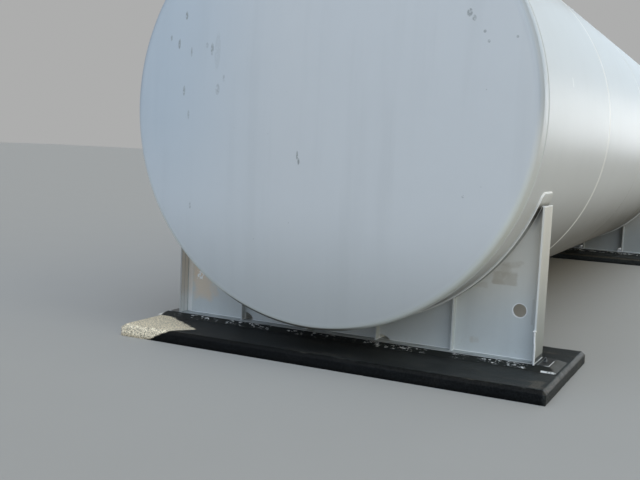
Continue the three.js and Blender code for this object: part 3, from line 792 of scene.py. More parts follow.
def sheath_finish(finish, colours):
    scuff = finish.noise(70.0, 4.0, 0.6)
    finish.tone = colours.sheath
    finish.lay(colours.rain, scuff.step(0.5, 0.75) * 0.25)
    finish.surface(0.45 + scuff * 0.2, finish.bump(scuff, 0.0005, 0.4))


def studio_floor(finish, colours):
    finish.tone = finish.shade(colours.floor, 0.985 + finish.noise(1.5, 3.0) * 0.03)
    finish.surface(0.75)


# The finishes made so far, by the function that made them
MADE_FINISHES = {}


def finish_from(maker):
    """The material that a function makes, made once and named after it."""
    if maker not in MADE_FINISHES:
        finish = Finish(maker.__name__)
        maker(finish, bpy.context.scene.tank_colours)
        MADE_FINISHES[maker] = finish.material
    return MADE_FINISHES[maker]


# Shapes

def spun(profile, centre, axis, steps):
    """A mesh turned about an axis from points in the plane of that axis."""
    bm = bmesh.new()
    points = [bm.verts.new(point) for point in profile]
    edges = [bm.edges.new(pair) for pair in zip(points, points[1:])]
    bmesh.ops.spin(bm, geom=points + edges, cent=centre, axis=axis, angle=WHOLE_TURN, steps=steps,
                   use_merge=True)
    bmesh.ops.remove_doubles(bm, verts=bm.verts, dist=1e-6)
    bmesh.ops.recalc_face_normals(bm, faces=bm.faces)
    return bm


def turned_upright(profile, centre, steps):
    """A mesh turned about an upright axis, from a closed profile of radius and height."""
    points = [Vector((centre[0] + radius, centre[1], height)) for radius, height in profile]
    return spun(points, Vector((centre[0], centre[1], 0)), UPRIGHT, steps)


def turned_about_tank(profile, steps):
    """A mesh turned about the tank's axis, from a closed profile of radius and place along the tank."""
    return spun([Vector((radius, place, AXIS_HEIGHT)) for radius, place in profile], AXIS, ALONG_TANK, steps)


def cad_copy(node):
    """A CAD node's mesh as a bmesh, with its loose triangles joined and its flat faces made whole."""
    bm = bmesh.new()
    bm.from_mesh(frame["nodes"][node].data)
    bmesh.ops.remove_doubles(bm, verts=bm.verts, dist=1e-5)
    bmesh.ops.dissolve_limit(bm, angle_limit=math.radians(0.5), verts=bm.verts, edges=bm.edges,
                             delimit={"NORMAL"})
    return bm


def rounded(bm, geom, width, segments=2, affect="EDGES"):
    """Rounds some edges or corners."""
    bmesh.ops.bevel(bm, geom=geom, offset=width, segments=segments, profile=0.5, affect=affect,
                    clamp_overlap=True, material=-1)
    return bm


def soften_edges(bm, width, sharper_than=30.0):
    """Rounds the edges that turn more than an angle."""
    return rounded(bm, [edge for edge in bm.edges if len(edge.link_faces) == 2
                        and edge.calc_face_angle() > math.radians(sharper_than)], width)


def eased_box(size, edge, segments=2, centre=(0, 0, 0)):
    bm = bmesh.new()
    bmesh.ops.create_cube(bm, size=1.0, matrix=Matrix.Translation(centre) @ Matrix.Diagonal((*size, 1)))
    return rounded(bm, bm.edges[:], edge, segments)


def mesh_from(bm, name="part"):
    """A mesh of a bmesh's shape. The bmesh is freed."""
    mesh = bpy.data.meshes.new(name)
    bm.to_mesh(mesh)
    bm.free()
    return mesh


def joined(whole, *parts):
    """Several bmeshes as one, the later ones freed."""
    for part in parts:
        mesh = mesh_from(part)
        whole.from_mesh(mesh)
        bpy.data.meshes.remove(mesh)
    return whole


def copies(part, matrices):
    """One bmesh repeated at each place."""
    mesh = mesh_from(part)
    whole = bmesh.new()
    for matrix in matrices:
        first = len(whole.verts)
        whole.from_mesh(mesh)
        whole.verts.ensure_lookup_table()
        bmesh.ops.transform(whole, matrix=matrix, verts=whole.verts[first:])
    bpy.data.meshes.remove(mesh)
    return whole


def piece_from(bm, name, maker, replaces=(), crease=32.0):
    """Puts a shape in the scene as a piece of the tank."""
    mesh = mesh_from(bm, name)
    mesh.shade_smooth()
    mesh.set_sharp_from_angle(angle=math.radians(crease))
    piece = bpy.data.objects.new(name, mesh)
    bpy.context.scene.collection.objects.link(piece)
    mesh.materials.append(finish_from(maker))
    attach(piece, "root")
    if replaces:
        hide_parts(*replaces)


def tubes(lines, radius, sides=8, waver=0.0, seed=1):
    """Round tubes along lines of points. A line is (points, closed), and waver varies the radius."""
    draw = random.Random(seed)
    curve = bpy.data.curves.new("tubes", "CURVE")
    curve.dimensions = "3D"
    curve.bevel_depth = radius
    curve.bevel_resolution = max(0, (sides - 4) // 2)
    curve.use_fill_caps = True
    for points, closed in lines:
        spline = curve.splines.new("POLY")
        spline.points.add(len(points) - 1)
        for target, point in zip(spline.points, points):
            target.co = (*point, 1.0)
            target.radius = 1.0 + waver * (draw.random() - 0.5)
        spline.use_cyclic_u = closed
    holder = bpy.data.objects.new("tubes", curve)
    bpy.context.scene.collection.objects.link(holder)
    graph = bpy.context.evaluated_depsgraph_get()
    mesh = bpy.data.meshes.new_from_object(holder.evaluated_get(graph))
    bm = bmesh.new()
    bm.from_mesh(mesh)
    for kind, item in ((bpy.data.objects, holder), (bpy.data.curves, curve), (bpy.data.meshes, mesh)):
        kind.remove(item)
    bmesh.ops.recalc_face_normals(bm, faces=bm.faces)
    return bm


def straight_line(start, end, spacing=0.03):
    count = max(2, round((end - start).length / spacing))
    return [start.lerp(end, step / count) for step in range(count + 1)]


def closed_line(corners, spacing):
    """Points along straight lines from corner to corner and back to the first."""
    line = []
    for start, end in zip(corners, corners[1:] + corners[:1]):
        line += straight_line(start, end, spacing)[:-1]
    return line


def smooth_route(points, steps):
    """A smooth line through a few points."""
    padded = [points[0] * 2 - points[1], *points, points[-1] * 2 - points[-2]]
    line = []
    for before, start, end, after in zip(padded, padded[1:], padded[2:], padded[3:]):
        straight = end - before
        bend = 2 * before - 5 * start + 4 * end - after
        twist = 3 * start - before - 3 * end + after
        for step in range(steps):
            share = step / steps
            line.append(0.5 * (2 * start + straight * share + bend * share ** 2 + twist * share ** 3))
    return line + [points[-1]]


def beside_tank(radius, place, turn):
    """A point at a distance from the axis, with its angle from straight down, positive towards +X."""
    return Vector((radius * math.sin(turn), place, AXIS_HEIGHT - radius * math.cos(turn)))


def round_tank(radius, place, low_angle, high_angle, steps):
    return [beside_tank(radius, place, low_angle + (high_angle - low_angle) * step / steps)
            for step in range(steps + 1)]


def tank_ring(radius, place):
    """A closed line round the whole tank."""
    return round_tank(radius, place, 0, WHOLE_TURN, 360)[:-1], True


def bead_radius(half_width, height):
    """Radius of a round bead that shows as a cap of this size."""
    return (half_width ** 2 + height ** 2) / (2 * height)


def shell_top(x):
    return AXIS_HEIGHT + math.sqrt(TANK_RADIUS ** 2 - x ** 2)


def disc(centre, radius, low, high, steps, edge=0.0015):
    """A solid round plate with softened rims."""
    profile = [(0, low), (radius - edge, low), (radius, low + edge), (radius, high - edge),
               (radius - edge, high), (0, high)]
    return turned_upright(profile, centre, steps)


def ring_plate(centre, inner, outer, low, high, steps, edge=0.001):
    profile = [(inner, low), (outer - edge, low), (outer, low + edge), (outer, high - edge),
               (outer - edge, high), (inner, high), (inner, low)]
    return turned_upright(profile, centre, steps)


def hexagon(across_flats, low, high):
    """A nut or bolt head at the origin, with its rims eased."""
    bm = bmesh.new()
    radius = across_flats / math.sqrt(3)
    bmesh.ops.create_cone(bm, cap_ends=True, segments=6, radius1=radius, radius2=radius, depth=high - low,
                          matrix=Matrix.Translation((0, 0, (low + high) / 2)))
    rims = [edge for edge in bm.edges if abs(edge.verts[0].co.z - edge.verts[1].co.z) < 1e-6]
    return rounded(bm, rims, across_flats * 0.06)


def threaded_stud(radius, low, high, pitch=0.003, steps=16):
    """A stud at the origin, with its thread as rings and a chamfered end."""
    profile = [(0, low), (radius, low)]
    height = low
    while height + pitch < high - pitch:
        profile += [(radius, height + pitch * 0.5), (radius * 0.9, height + pitch)]
        height += pitch
    profile += [(radius * 0.9, high - pitch * 0.5), (radius * 0.75, high), (0, high)]
    return turned_upright(profile, (0, 0), steps)


def bolt_set(width, bolt_radius, grip_low, grip_high):
    """A bolt at the origin: its head over the joint, its nut and stud end under it."""
    washer = 0.002
    head = hexagon(width, grip_high + washer, grip_high + washer + bolt_radius * 1.3)
    washers = [disc((0, 0), width * 0.58, low, low + washer, 16, 0.0004)
               for low in (grip_high, grip_low - washer)]
    nut = hexagon(width, grip_low - washer - bolt_radius * 1.6, grip_low - washer)
    stud = threaded_stud(bolt_radius, grip_low - bolt_radius * 2.4, grip_low - washer, steps=12)
    return joined(head, *washers, nut, stud)


def bolt_circle(radius, count, centre_y, height=0.0):
    return [Matrix.Translation((radius * math.cos(turn), centre_y + radius * math.sin(turn), height))
            @ Matrix.Rotation(turn, 4, "Z")
            for turn in (WHOLE_TURN * (step + 0.5) / count for step in range(count))]


def cut_across(bm, axis, low, high, step):
    """Cuts a mesh by evenly spaced planes across one axis."""
    normal = Vector((0, 0, 0))
    normal[axis] = 1
    count = max(2, round((high - low) / step))
    for index in range(1, count):
        bmesh.ops.bisect_plane(bm, geom=bm.verts[:] + bm.edges[:] + bm.faces[:], dist=1e-6,
                               plane_co=normal * (low + (high - low) * index / count), plane_no=normal)


def within(box, point, margin=0.0):
    """Whether a point lies in a box, as seen from above."""
    return all(box[0][axis] - margin < point[axis] < box[1][axis] + margin for axis in (0, 1))


def wear_down(bm, depth, chip, is_kept):
    """Moves the surface inwards by an uneven amount, most along the edges, apart from the points to keep."""
    bm.normal_update()
    moves = []
    for vert in bm.verts:
        even = abs(noise.noise(vert.co * 4.0)) * depth
        spread = min(face.normal.dot(vert.normal) for face in vert.link_faces)
        at_edge = 1.0 if spread < 0.97 else 0.0
        chipped = max(0.0, noise.noise(vert.co * 13.0 + Vector((5.0, 0, 0))) - 0.15) * chip * at_edge
        inward = -vert.normal * (0.0 if is_kept(vert.co) else even + chipped)
        if vert.co.z < 1e-4:
            inward.z = 0
        moves.append(inward)
    for vert, move in zip(bm.verts, moves):
        vert.co += move


# The fittings' pipe walls, the steps round the pipes and round the welds at their feet, and the welds' seeds
FITTINGS = {
    "manway": (0.010, 72, 96, 21),
    "fill": (0.007, 48, 64, 22),
    "dip": (0.005, 32, 48, 23),
    "vent": (0.006, 40, 48, 24),
}


def pipe_on_crown(kind, node, name):
    """Makes a pipe with its foot run into the shell, and gives its outer radius, middle and top."""
    wall, steps = FITTINGS[kind][:2]
    low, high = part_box(node)
    outer = (high.x - low.x) / 2
    centre = (0, (low.y + high.y) / 2)
    buried = 0.01
    foot = shell_top(outer) - buried
    inner = outer - wall
    profile = [(inner, foot), (outer, foot), (outer, high.z), (inner, high.z), (inner, foot)]
    piece_from(turned_upright(profile, centre, steps), name, fitting_paint, [node])
    return outer, centre, high.z


def crown_weld(kind, outer, centre_y, leg):
    """Lays a weld where an upright pipe on the crown meets the shell."""
    steps, seed = FITTINGS[kind][2:]
    ring = []
    for step in range(steps):
        turn = WHOLE_TURN * step / steps
        x = outer * math.cos(turn)
        ring.append(Vector((x, centre_y + outer * math.sin(turn), shell_top(x))))
    piece_from(tubes([(ring, True)], leg, 10, 0.12, seed), f"{kind}_weld", weld_paint)


def bolted_cover(kind, node, cover, outer, centre, joint, gasket, seal_inset, nut, bolt, count):
    """A flange up to its joint, a gasket, the cover that stands for a CAD node, and their bolts."""
    wall, steps = FITTINGS[kind][:2]
    low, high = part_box(node)
    rim = (high.x - low.x) / 2
    flange = ring_plate(centre, outer - wall, rim, low.z, joint, steps)
    piece_from(flange, f"{kind}_flange", fitting_paint)
    packing = ring_plate(centre, outer - wall, rim - seal_inset, joint, joint + gasket, steps, 0.0002)
    piece_from(packing, f"{kind}_gasket", gasket_finish)
    piece_from(disc(centre, rim, joint + gasket, high.z, steps), cover, fitting_paint, [node])
    bolts = copies(bolt_set(nut, bolt, low.z, high.z), bolt_circle(rim - nut, count, centre[1]))
    piece_from(bolts, f"{kind}_bolts", zinc_finish)


# Operators, one for each piece or group of like pieces

class TankOperator:
    """What the operators share: they register in the tank's name and can be undone."""
    bl_options = {"REGISTER", "UNDO"}


class TANK_OT_shell(TankOperator, bpy.types.Operator):
    """Rolls the shell's strakes and lays the girth welds between them"""
    bl_idname = "tank.shell"
    bl_label = "Shell"

    def execute(self, context):
        sizes = context.scene.tank_sizes
        inner = TANK_RADIUS - sizes.shell_wall
        # How far from a seam the plate is drawn in, and by how much
        pulls = [(away, sizes.seam_pull * (1 - index / 3) ** 2)
                 for index, away in enumerate((0.0, 0.03, 0.08, 0.16))]
        for node, (low, high) in zip(STRAKES, STRAKE_BOXES):
            # Nothing is drawn in where a head follows
            front_share = 0.0 if node == STRAKES[0] else 1.0
            rear_share = 0.0 if node == STRAKES[-1] else 1.0
            outer = [(TANK_RADIUS - front_share * pull, low.y + away) for away, pull in pulls]
            outer += [(TANK_RADIUS - rear_share * pull, high.y - away) for away, pull in reversed(pulls)]
            profile = [*outer, (inner, high.y), (inner, low.y), outer[0]]
            piece_from(turned_about_tank(profile, sizes.round_steps), node.replace("shell", "tank"),
                       shell_paint, [node])
        bead = bead_radius(sizes.bead_width / 2, sizes.bead_height)
        centre = TANK_RADIUS - sizes.seam_pull - bead + sizes.bead_height
        lines = [tank_ring(centre, place) for place in GIRTH_SEAMS]
        # The long seams lie near the crown, by turns to its left and right
        for (low, high), seam_angle in zip(STRAKE_BOXES, (-152, 152, -152, 152)):
            foot = beside_tank(centre + sizes.seam_pull, low.y, math.radians(seam_angle))
            lines.append((straight_line(foot, Vector((foot.x, high.y, foot.z)), 0.05), False))
        piece_from(tubes(lines, bead, 20, 0.05, 3), "shell_welds", weld_paint)
        return {"FINISHED"}


class TANK_OT_heads(TankOperator, bpy.types.Operator):
    """Dishes the two heads and lays their welds to the shell"""
    bl_idname = "tank.heads"
    bl_label = "Heads"

    def skin(self, sizes, inset, knuckle_steps, crown_steps):
        """Radius and depth from the weld to the middle of the dish, for one side of the plate."""
        straight = sizes.head_straight
        centre = TANK_RADIUS - sizes.knuckle_radius
        knuckle = sizes.knuckle_radius - inset
        reach = sizes.crown_radius - sizes.knuckle_radius
        rim = math.asin(centre / reach)
        crown_centre = straight - reach * math.cos(rim)
        points = [(TANK_RADIUS - inset, 0.0), (TANK_RADIUS - inset, straight / 2)]
        for step in range(knuckle_steps + 1):
            turn = (math.pi / 2 - rim) * step / knuckle_steps
            points.append((centre + knuckle * math.cos(turn), straight + knuckle * math.sin(turn)))
        crown = sizes.crown_radius - inset
        for step in range(1, crown_steps + 1):
            turn = rim * (1 - step / crown_steps)
            points.append((crown * math.sin(turn), crown_centre + crown * math.cos(turn)))
        points[-1] = (0.0, points[-1][1])
        return points

    def execute(self, context):
        sizes = context.scene.tank_sizes
        outer = self.skin(sizes, 0.0, 12, 30)
        inner = self.skin(sizes, sizes.head_wall, 6, 12)
        half_run = sizes.bead_width / 4
        bead = bead_radius(half_run, sizes.bead_height)
        for node, facing, weld, seam in (
                ("front_head", -1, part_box("front_head")[1].y, HEAD_SEAMS[0]),
                ("rear_head", 1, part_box("rear_head")[0].y, HEAD_SEAMS[1])):
            outline = [(radius, weld + facing * depth) for radius, depth in outer + inner[::-1] + outer[:1]]
            bm = turned_about_tank(outline, sizes.round_steps)
            piece_from(bm, node.replace("head", "dished_head"), head_paint, [node], 60.0)
            centre = TANK_RADIUS - bead + sizes.bead_height
            lines = [tank_ring(centre, seam + side * 1.9 * half_run) for side in (-1, 1)]
            piece_from(tubes(lines, bead, 12, 0.06, 5), node.replace("head", "head_weld"), plain_weld_paint)
        return {"FINISHED"}


class TANK_OT_saddle_plates(TankOperator, bpy.types.Operator):
    """Eases the edges of the webs, ribs, flanges and base plates"""
    bl_idname = "tank.saddle_plates"
    bl_label = "Saddle plates"

    def execute(self, context):
        edge = context.scene.saddle_sizes.plate_edge
        kinds = ["saddle_web", "saddle_left_flange", "saddle_right_flange", "base_plate"]
        kinds += [f"saddle_{face}_rib_{number}" for face in ("outer", "inner") for number in RIB_NUMBERS]
        for node in (f"{place}_{kind}" for place in PLACES for kind in kinds):
            paint = base_plate_paint if node.endswith("base_plate") else saddle_paint
            piece_from(soften_edges(cad_copy(node), edge), f"{node}_steel", paint, [node], 20.0)
        return {"FINISHED"}


class TANK_OT_wear_plates(TankOperator, bpy.types.Operator):
    """Rolls the wear plates, with their round corners, to the shell"""
    bl_idname = "tank.wear_plates"
    bl_label = "Wear plates"

    def execute(self, context):
        sizes = context.scene.saddle_sizes
        for place in PLACES:
            node = f"{place}_saddle_wear_plate"
            low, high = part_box(node)
            inner = TANK_RADIUS + 0.0003
            thickness = AXIS_HEIGHT - low.z - inner
            half_length = sizes.wear_half_angle * TANK_RADIUS
            bm = bmesh.new()
            bm.faces.new([bm.verts.new((side * half_length, along, 0))
                          for side, along in ((-1, low.y), (1, low.y), (1, high.y), (-1, high.y))])
            rounded(bm, bm.verts[:], sizes.wear_corner, 8, "VERTICES")
            raised = bmesh.ops.extrude_face_region(bm, geom=bm.faces[:])
            top = [item for item in raised["geom"] if isinstance(item, bmesh.types.BMVert)]
            bmesh.ops.translate(bm, vec=(0, 0, thickness), verts=top)
            bmesh.ops.recalc_face_normals(bm, faces=bm.faces)
            soften_edges(bm, sizes.plate_edge, 60.0)
            cuts = 120
            for index in range(1, cuts):
                cut = -half_length + 2 * half_length * index / cuts
                bmesh.ops.bisect_plane(bm, geom=bm.verts[:] + bm.edges[:] + bm.faces[:], dist=1e-7,
                                       plane_co=(cut, 0, 0), plane_no=(1, 0, 0))
            for vert in bm.verts:
                vert.co = beside_tank(inner + vert.co.z, vert.co.y, vert.co.x / TANK_RADIUS)
            bmesh.ops.recalc_face_normals(bm, faces=bm.faces)
            piece_from(bm, f"{place}_rolled_wear_plate", wear_plate_paint, [node], 40.0)
        return {"FINISHED"}


# Widths of the drain holes, from the first rib on
DRAIN_WIDTHS = (0.084, 0.076, 0.104)


class TANK_OT_saddle_welds(TankOperator, bpy.types.Operator):
    """Lays the fillet welds of the saddles"""
    bl_idname = "tank.saddle_welds"
    bl_label = "Saddle welds"

    def foot_runs(self, place):
        """Where the web is welded to the base plate, between the drain holes."""
        web_low, web_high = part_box(f"{place}_saddle_web")
        facing = 1 if place == "front" else -1
        runs = []
        start = web_low.x if facing > 0 else web_high.x
        for number, width in enumerate(DRAIN_WIDTHS, 1):
            low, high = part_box(f"{place}_saddle_outer_rib_{number}")
            side = high.x if facing > 0 else low.x
            runs.append((start, side))
            start = side + facing * width
        runs.append((start, web_high.x if facing > 0 else web_low.x))
        return runs

    def wear_outline(self, sizes, low, high):
        """The wear plate's outline on the shell, round its corners."""
        half = sizes.wear_half_angle * TANK_RADIUS
        corner = sizes.wear_corner
        near, far = low.y + corner, high.y - corner
        flat = []
        for side, along, first in ((1, near, -90), (1, far, 0), (-1, far, 90), (-1, near, 180)):
            for turn in (math.radians(first + 15 * step) for step in range(7)):
                flat.append(Vector((side * (half - corner) + corner * math.cos(turn),
                                    along + corner * math.sin(turn), 0)))
        return [beside_tank(TANK_RADIUS, point.y, point.x / TANK_RADIUS)
                for point in closed_line(flat, 0.035)]

    def plate_lines(self, place):
        """The welds between the saddle's own plates."""
        web_low, web_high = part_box(f"{place}_saddle_web")
        base = web_low.z
        seat = AXIS_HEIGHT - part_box(f"{place}_saddle_wear_plate")[0].z
        ends = []
        for face in (web_low.y, web_high.y):
            ends += [((start, face, base), (end, face, base)) for start, end in self.foot_runs(place)]
            ends += [((x, face, base), (x, face, web_high.z)) for x in (web_low.x, web_high.x)]
        for number in RIB_NUMBERS:
            for side in ("outer", "inner"):
                low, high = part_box(f"{place}_saddle_{side}_rib_{number}")
                at_web = web_low.y if abs(low.y - web_low.y) > abs(high.y - web_low.y) else web_high.y
                for x in (low.x, high.x):
                    top = AXIS_HEIGHT - math.sqrt(seat ** 2 - x ** 2)
                    ends.append(((x, at_web, base), (x, at_web, top)))
                    ends.append(((x, low.y, base), (x, high.y, base)))
        for side in ("left", "right"):
            low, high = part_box(f"{place}_saddle_{side}_flange")
            ends += [((x, low.y, base), (x, high.y, base)) for x in (low.x, high.x)]
        return [(straight_line(Vector(start), Vector(end)), False) for start, end in ends]

    def execute(self, context):
        sizes = context.scene.saddle_sizes
        leg = context.scene.tank_sizes.fillet_leg
        for place in PLACES:
            web_low, web_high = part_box(f"{place}_saddle_web")
            wear_low, wear_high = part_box(f"{place}_saddle_wear_plate")
            seat = AXIS_HEIGHT - wear_low.z
            reach = math.acos((AXIS_HEIGHT - web_high.z) / seat) - 0.004
            seams = [(round_tank(seat, face, -reach, reach, 110), False) for face in (web_low.y, web_high.y)]
            outline = [(self.wear_outline(sizes, wear_low, wear_high), True)]
            for name, lines, radius, seed, paint in (
                    ("saddle_welds", self.plate_lines(place), sizes.plate_weld, 11, saddle_weld_paint),
                    ("seat_welds", seams, sizes.seat_weld, 12, saddle_weld_paint),
                    ("wear_plate_weld", outline, leg, 13, wear_weld_paint)):
                piece_from(tubes(lines, radius, 8, 0.18, seed), f"{place}_{name}", paint)
        return {"FINISHED"}


class TANK_OT_anchor_bolts(TankOperator, bpy.types.Operator):
    """Sets a stud, a washer and a nut at each end of the base plates"""
    bl_idname = "tank.anchor_bolts"
    bl_label = "Anchor bolts"

    def execute(self, context):
        sizes = context.scene.saddle_sizes
        for place in PLACES:
            low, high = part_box(f"{place}_base_plate")
            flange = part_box(f"{place}_saddle_right_flange")
            reach = (high.x + max(abs(flange[0].x), abs(flange[1].x))) / 2
            over_washer = high.z + 0.004
            washer = disc((0, 0), sizes.nut_width * 0.62, high.z, over_washer, 24, 0.0006)
            nut = hexagon(sizes.nut_width, over_washer, over_washer + sizes.nut_width * 0.52)
            stud = threaded_stud(sizes.stud_radius, high.z, high.z + sizes.stud_height)
            middle = (low.y + high.y) / 2
            spots = [Matrix.Translation((side * reach, middle, 0)) @ Matrix.Rotation(0.3 * side, 4, "Z")
                     for side in (-1, 1)]
            piece_from(copies(joined(washer, nut, stud), spots), f"{place}_anchor_bolts", dull_zinc)
        return {"FINISHED"}


class TANK_OT_footings(TankOperator, bpy.types.Operator):
    """Casts the plinths and the grout beds, with uneven faces and chipped edges"""
    bl_idname = "tank.footings"
    bl_label = "Footings"

    def execute(self, context):
        cell = 0.035
        for place in PLACES:
            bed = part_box(f"{place}_grout_bed")
            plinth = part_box(f"{place}_plinth")
            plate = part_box(f"{place}_base_plate")
            bm = cad_copy(f"{place}_plinth")
            for axis in range(3):
                cut_across(bm, axis, plinth[0][axis], plinth[1][axis], cell)
            wear_down(bm, depth=0.002, chip=0.012, is_kept=lambda point: within(bed, point))
            piece_from(bm, f"{place}_cast_plinth", plinth_concrete, [f"{place}_plinth"], 50.0)
            bm = cad_copy(f"{place}_grout_bed")
            for axis, step in ((0, cell), (1, 0.02)):
                cut_across(bm, axis, bed[0][axis], bed[1][axis], step)
            wear_down(bm, depth=0.005, chip=0.02,
                      is_kept=lambda point: within(plate, point, 0.004) or point.z < bed[0].z + 1e-4)
            piece_from(bm, f"{place}_grout", grout_finish, [f"{place}_grout_bed"], 50.0)
        return {"FINISHED"}


class TANK_OT_manway(TankOperator, bpy.types.Operator):
    """Builds the manway: neck, flange, gasket, cover, bolts and handles"""
    bl_idname = "tank.manway"
    bl_label = "Manway"

    def execute(self, context):
        sizes = context.scene.crown_sizes
        outer, centre, _ = pipe_on_crown("manway", "manway_neck", "manway_pipe")
        low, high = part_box("manway_cover")
        bolted_cover("manway", "manway_cover", "manway_lid", outer, centre, low.z + sizes.flange_thickness,
                     sizes.gasket, seal_inset=0.055, nut=0.030, bolt=sizes.cover_bolt / 2,
                     count=sizes.cover_bolts)
        half, height, bend = 0.075, 0.055, 0.02
        rise = [(half, 0.0), (half, height - bend), (half - bend * 0.3, height - bend * 0.3),
                (half - bend, height)]
        outline = [(-along, up) for along, up in rise] + rise[::-1]
        lines = []
        for x in (-high.x * 0.55, high.x * 0.55):
            lines.append(([Vector((x, centre[1] + y, high.z - 0.002 + z)) for y, z in outline], False))
        piece_from(tubes(lines, sizes.handle_rod / 2, 10), "manway_handles", fitting_paint)
        crown_weld("manway", outer, centre[1], context.scene.tank_sizes.fillet_leg)
        return {"FINISHED"}


class TANK_OT_fill_nozzle(TankOperator, bpy.types.Operator):
    """Builds the fill nozzle and its bolted blind flange"""
    bl_idname = "tank.fill_nozzle"
    bl_label = "Fill nozzle"

    def execute(self, context):
        gasket = context.scene.crown_sizes.gasket
        outer, centre, _ = pipe_on_crown("fill", "fill_nozzle", "fill_pipe")
        low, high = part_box("fill_cover")
        bolted_cover("fill", "fill_cover", "fill_blind", outer, centre, (low.z + high.z - gasket) / 2,
                     gasket, seal_inset=0.035, nut=0.024, bolt=0.008, count=8)
        crown_weld("fill", outer, centre[1], 0.006)
        return {"FINISHED"}


class TANK_OT_dip_pipe(TankOperator, bpy.types.Operator):
    """Builds the dip pipe and its screwed cap"""
    bl_idname = "tank.dip_pipe"
    bl_label = "Dip pipe"

    def execute(self, context):
        outer, centre, _ = pipe_on_crown("dip", "dip_pipe", "dip_tube")
        low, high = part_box("dip_cap")
        rim = (high.x - low.x) / 2
        body = disc(centre, rim * 0.92, low.z, high.z, 48, 0.003)
        grip = eased_box((0.010, 0.012, (high.z - low.z) * 0.7), 0.002)
        grips = copies(grip, bolt_circle(rim - 0.006, 8, centre[1], (low.z + high.z) / 2))
        piece_from(joined(body, grips), "dip_screw_cap", zinc_finish, ["dip_cap"])
        crown_weld("dip", outer, centre[1], 0.005)
        return {"FINISHED"}


class TANK_OT_vent(TankOperator, bpy.types.Operator):
    """Builds the vent pipe, its cowl and the stays between them"""
    bl_idname = "tank.vent"
    bl_label = "Vent"

    def execute(self, context):
        outer, centre, top = pipe_on_crown("vent", "vent_pipe", "vent_stack")
        low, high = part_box("vent_cowl")
        rim = (high.x - low.x) / 2
        wall = 0.003
        roof = []
        for turn in (step / 8 * math.pi / 2 for step in range(9)):
            roof.append((rim * math.sin(turn), high.z - (high.z - top) * (1 - math.cos(turn))))
        under = [(radius * (1 - wall / rim), height - wall) for radius, height in roof]
        lip = [(rim, low.z + 0.004), (rim, low.z), (rim - wall, low.z)]
        profile = roof + lip + under[::-1]
        profile[-1] = (0.0, profile[-1][1])
        piece_from(turned_upright(profile, centre, 48), "vent_hood", fitting_paint, ["vent_cowl"], 40.0)
        stay = eased_box((rim - outer, 0.004, 0.03), 0.0008)
        spots = bolt_circle((rim + outer) / 2, 4, centre[1], top - 0.017)
        piece_from(copies(stay, spots), "vent_stays", fitting_paint)
        crown_weld("vent", outer, centre[1], 0.006)
        return {"FINISHED"}


class TANK_OT_lifting_lugs(TankOperator, bpy.types.Operator):
    """Eases and welds the lifting lugs"""
    bl_idname = "tank.lifting_lugs"
    bl_label = "Lifting lugs"

    def execute(self, context):
        leg = context.scene.tank_sizes.fillet_leg
        for place in PLACES:
            node = f"{place}_lifting_lug"
            low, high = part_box(node)
            piece_from(soften_edges(cad_copy(node), 0.002), f"{place}_lug_plate", fitting_paint, [node], 20.0)
            corners = [Vector((x, y, shell_top(x))) for x, y in
                       ((low.x, low.y), (high.x, low.y), (high.x, high.y), (low.x, high.y))]
            weld = tubes([(closed_line(corners, 0.02), True)], leg, 8, 0.12, 31)
            piece_from(weld, f"{place}_lug_weld", weld_paint)
        return {"FINISHED"}


class TANK_OT_earth_connection(TankOperator, bpy.types.Operator):
    """Builds the earth lug with its bolts, and the wire that runs down from it"""
    bl_idname = "tank.earth_connection"
    bl_label = "Earth connection"

    def execute(self, context):
        low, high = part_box("earth_lug")
        size = high - low
        middle = (low + high) / 2
        bar_height = 0.011
        under_bar = 0.002
        bar_place = Vector((middle.x, middle.y, high.z - bar_height / 2))
        stem_size = (size.x * 0.45, size.y * 0.9, size.z - under_bar)
        bodies = [eased_box((size.x, size.y, bar_height), 0.002, 3, bar_place),
                  eased_box(stem_size, 0.002, 3, middle - UPRIGHT * under_bar / 2)]
        for side in (-1, 1):
            bolt = hexagon(0.008, 0.0, 0.005)
            on_bar = Matrix.Translation((middle.x + side * size.x * 0.34, low.y, bar_place.z))
            bmesh.ops.transform(bolt, matrix=on_bar @ Matrix.Rotation(math.pi / 2, 4, "X"), verts=bolt.verts)
            bodies.append(bolt)
        piece_from(joined(*bodies), "earth_clamp", lug_paint, ["earth_lug"])
        wire_low, wire_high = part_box("earth_wire")
        radius = 0.0078
        top = Vector((middle.x, middle.y, wire_high.z))
        foot = Vector((wire_high.x - radius, wire_low.y + radius, wire_low.z))
        bent = top + Vector((0.008, -0.008, -0.110))
        route = [top, top - UPRIGHT * 0.030, bent, foot + UPRIGHT * 0.060, foot]
        wire = tubes([(smooth_route(route, 10), False)], radius, 12)
        piece_from(wire, "earth_cable", sheath_finish, ["earth_wire"])
        return {"FINISHED"}


# The lights: from which side, how high and how broad, in degrees
LIGHTS = {
    "side": ((1.0, -0.04), 25, 50),
    "right": ((0.7, -0.7), 45, 60),
    "front": ((-0.12, -0.75), 40, 80),
    "back": ((0.15, 1.0), 8, 30),
    "horizon": ((0.17, 1.0), 2, 12),
}


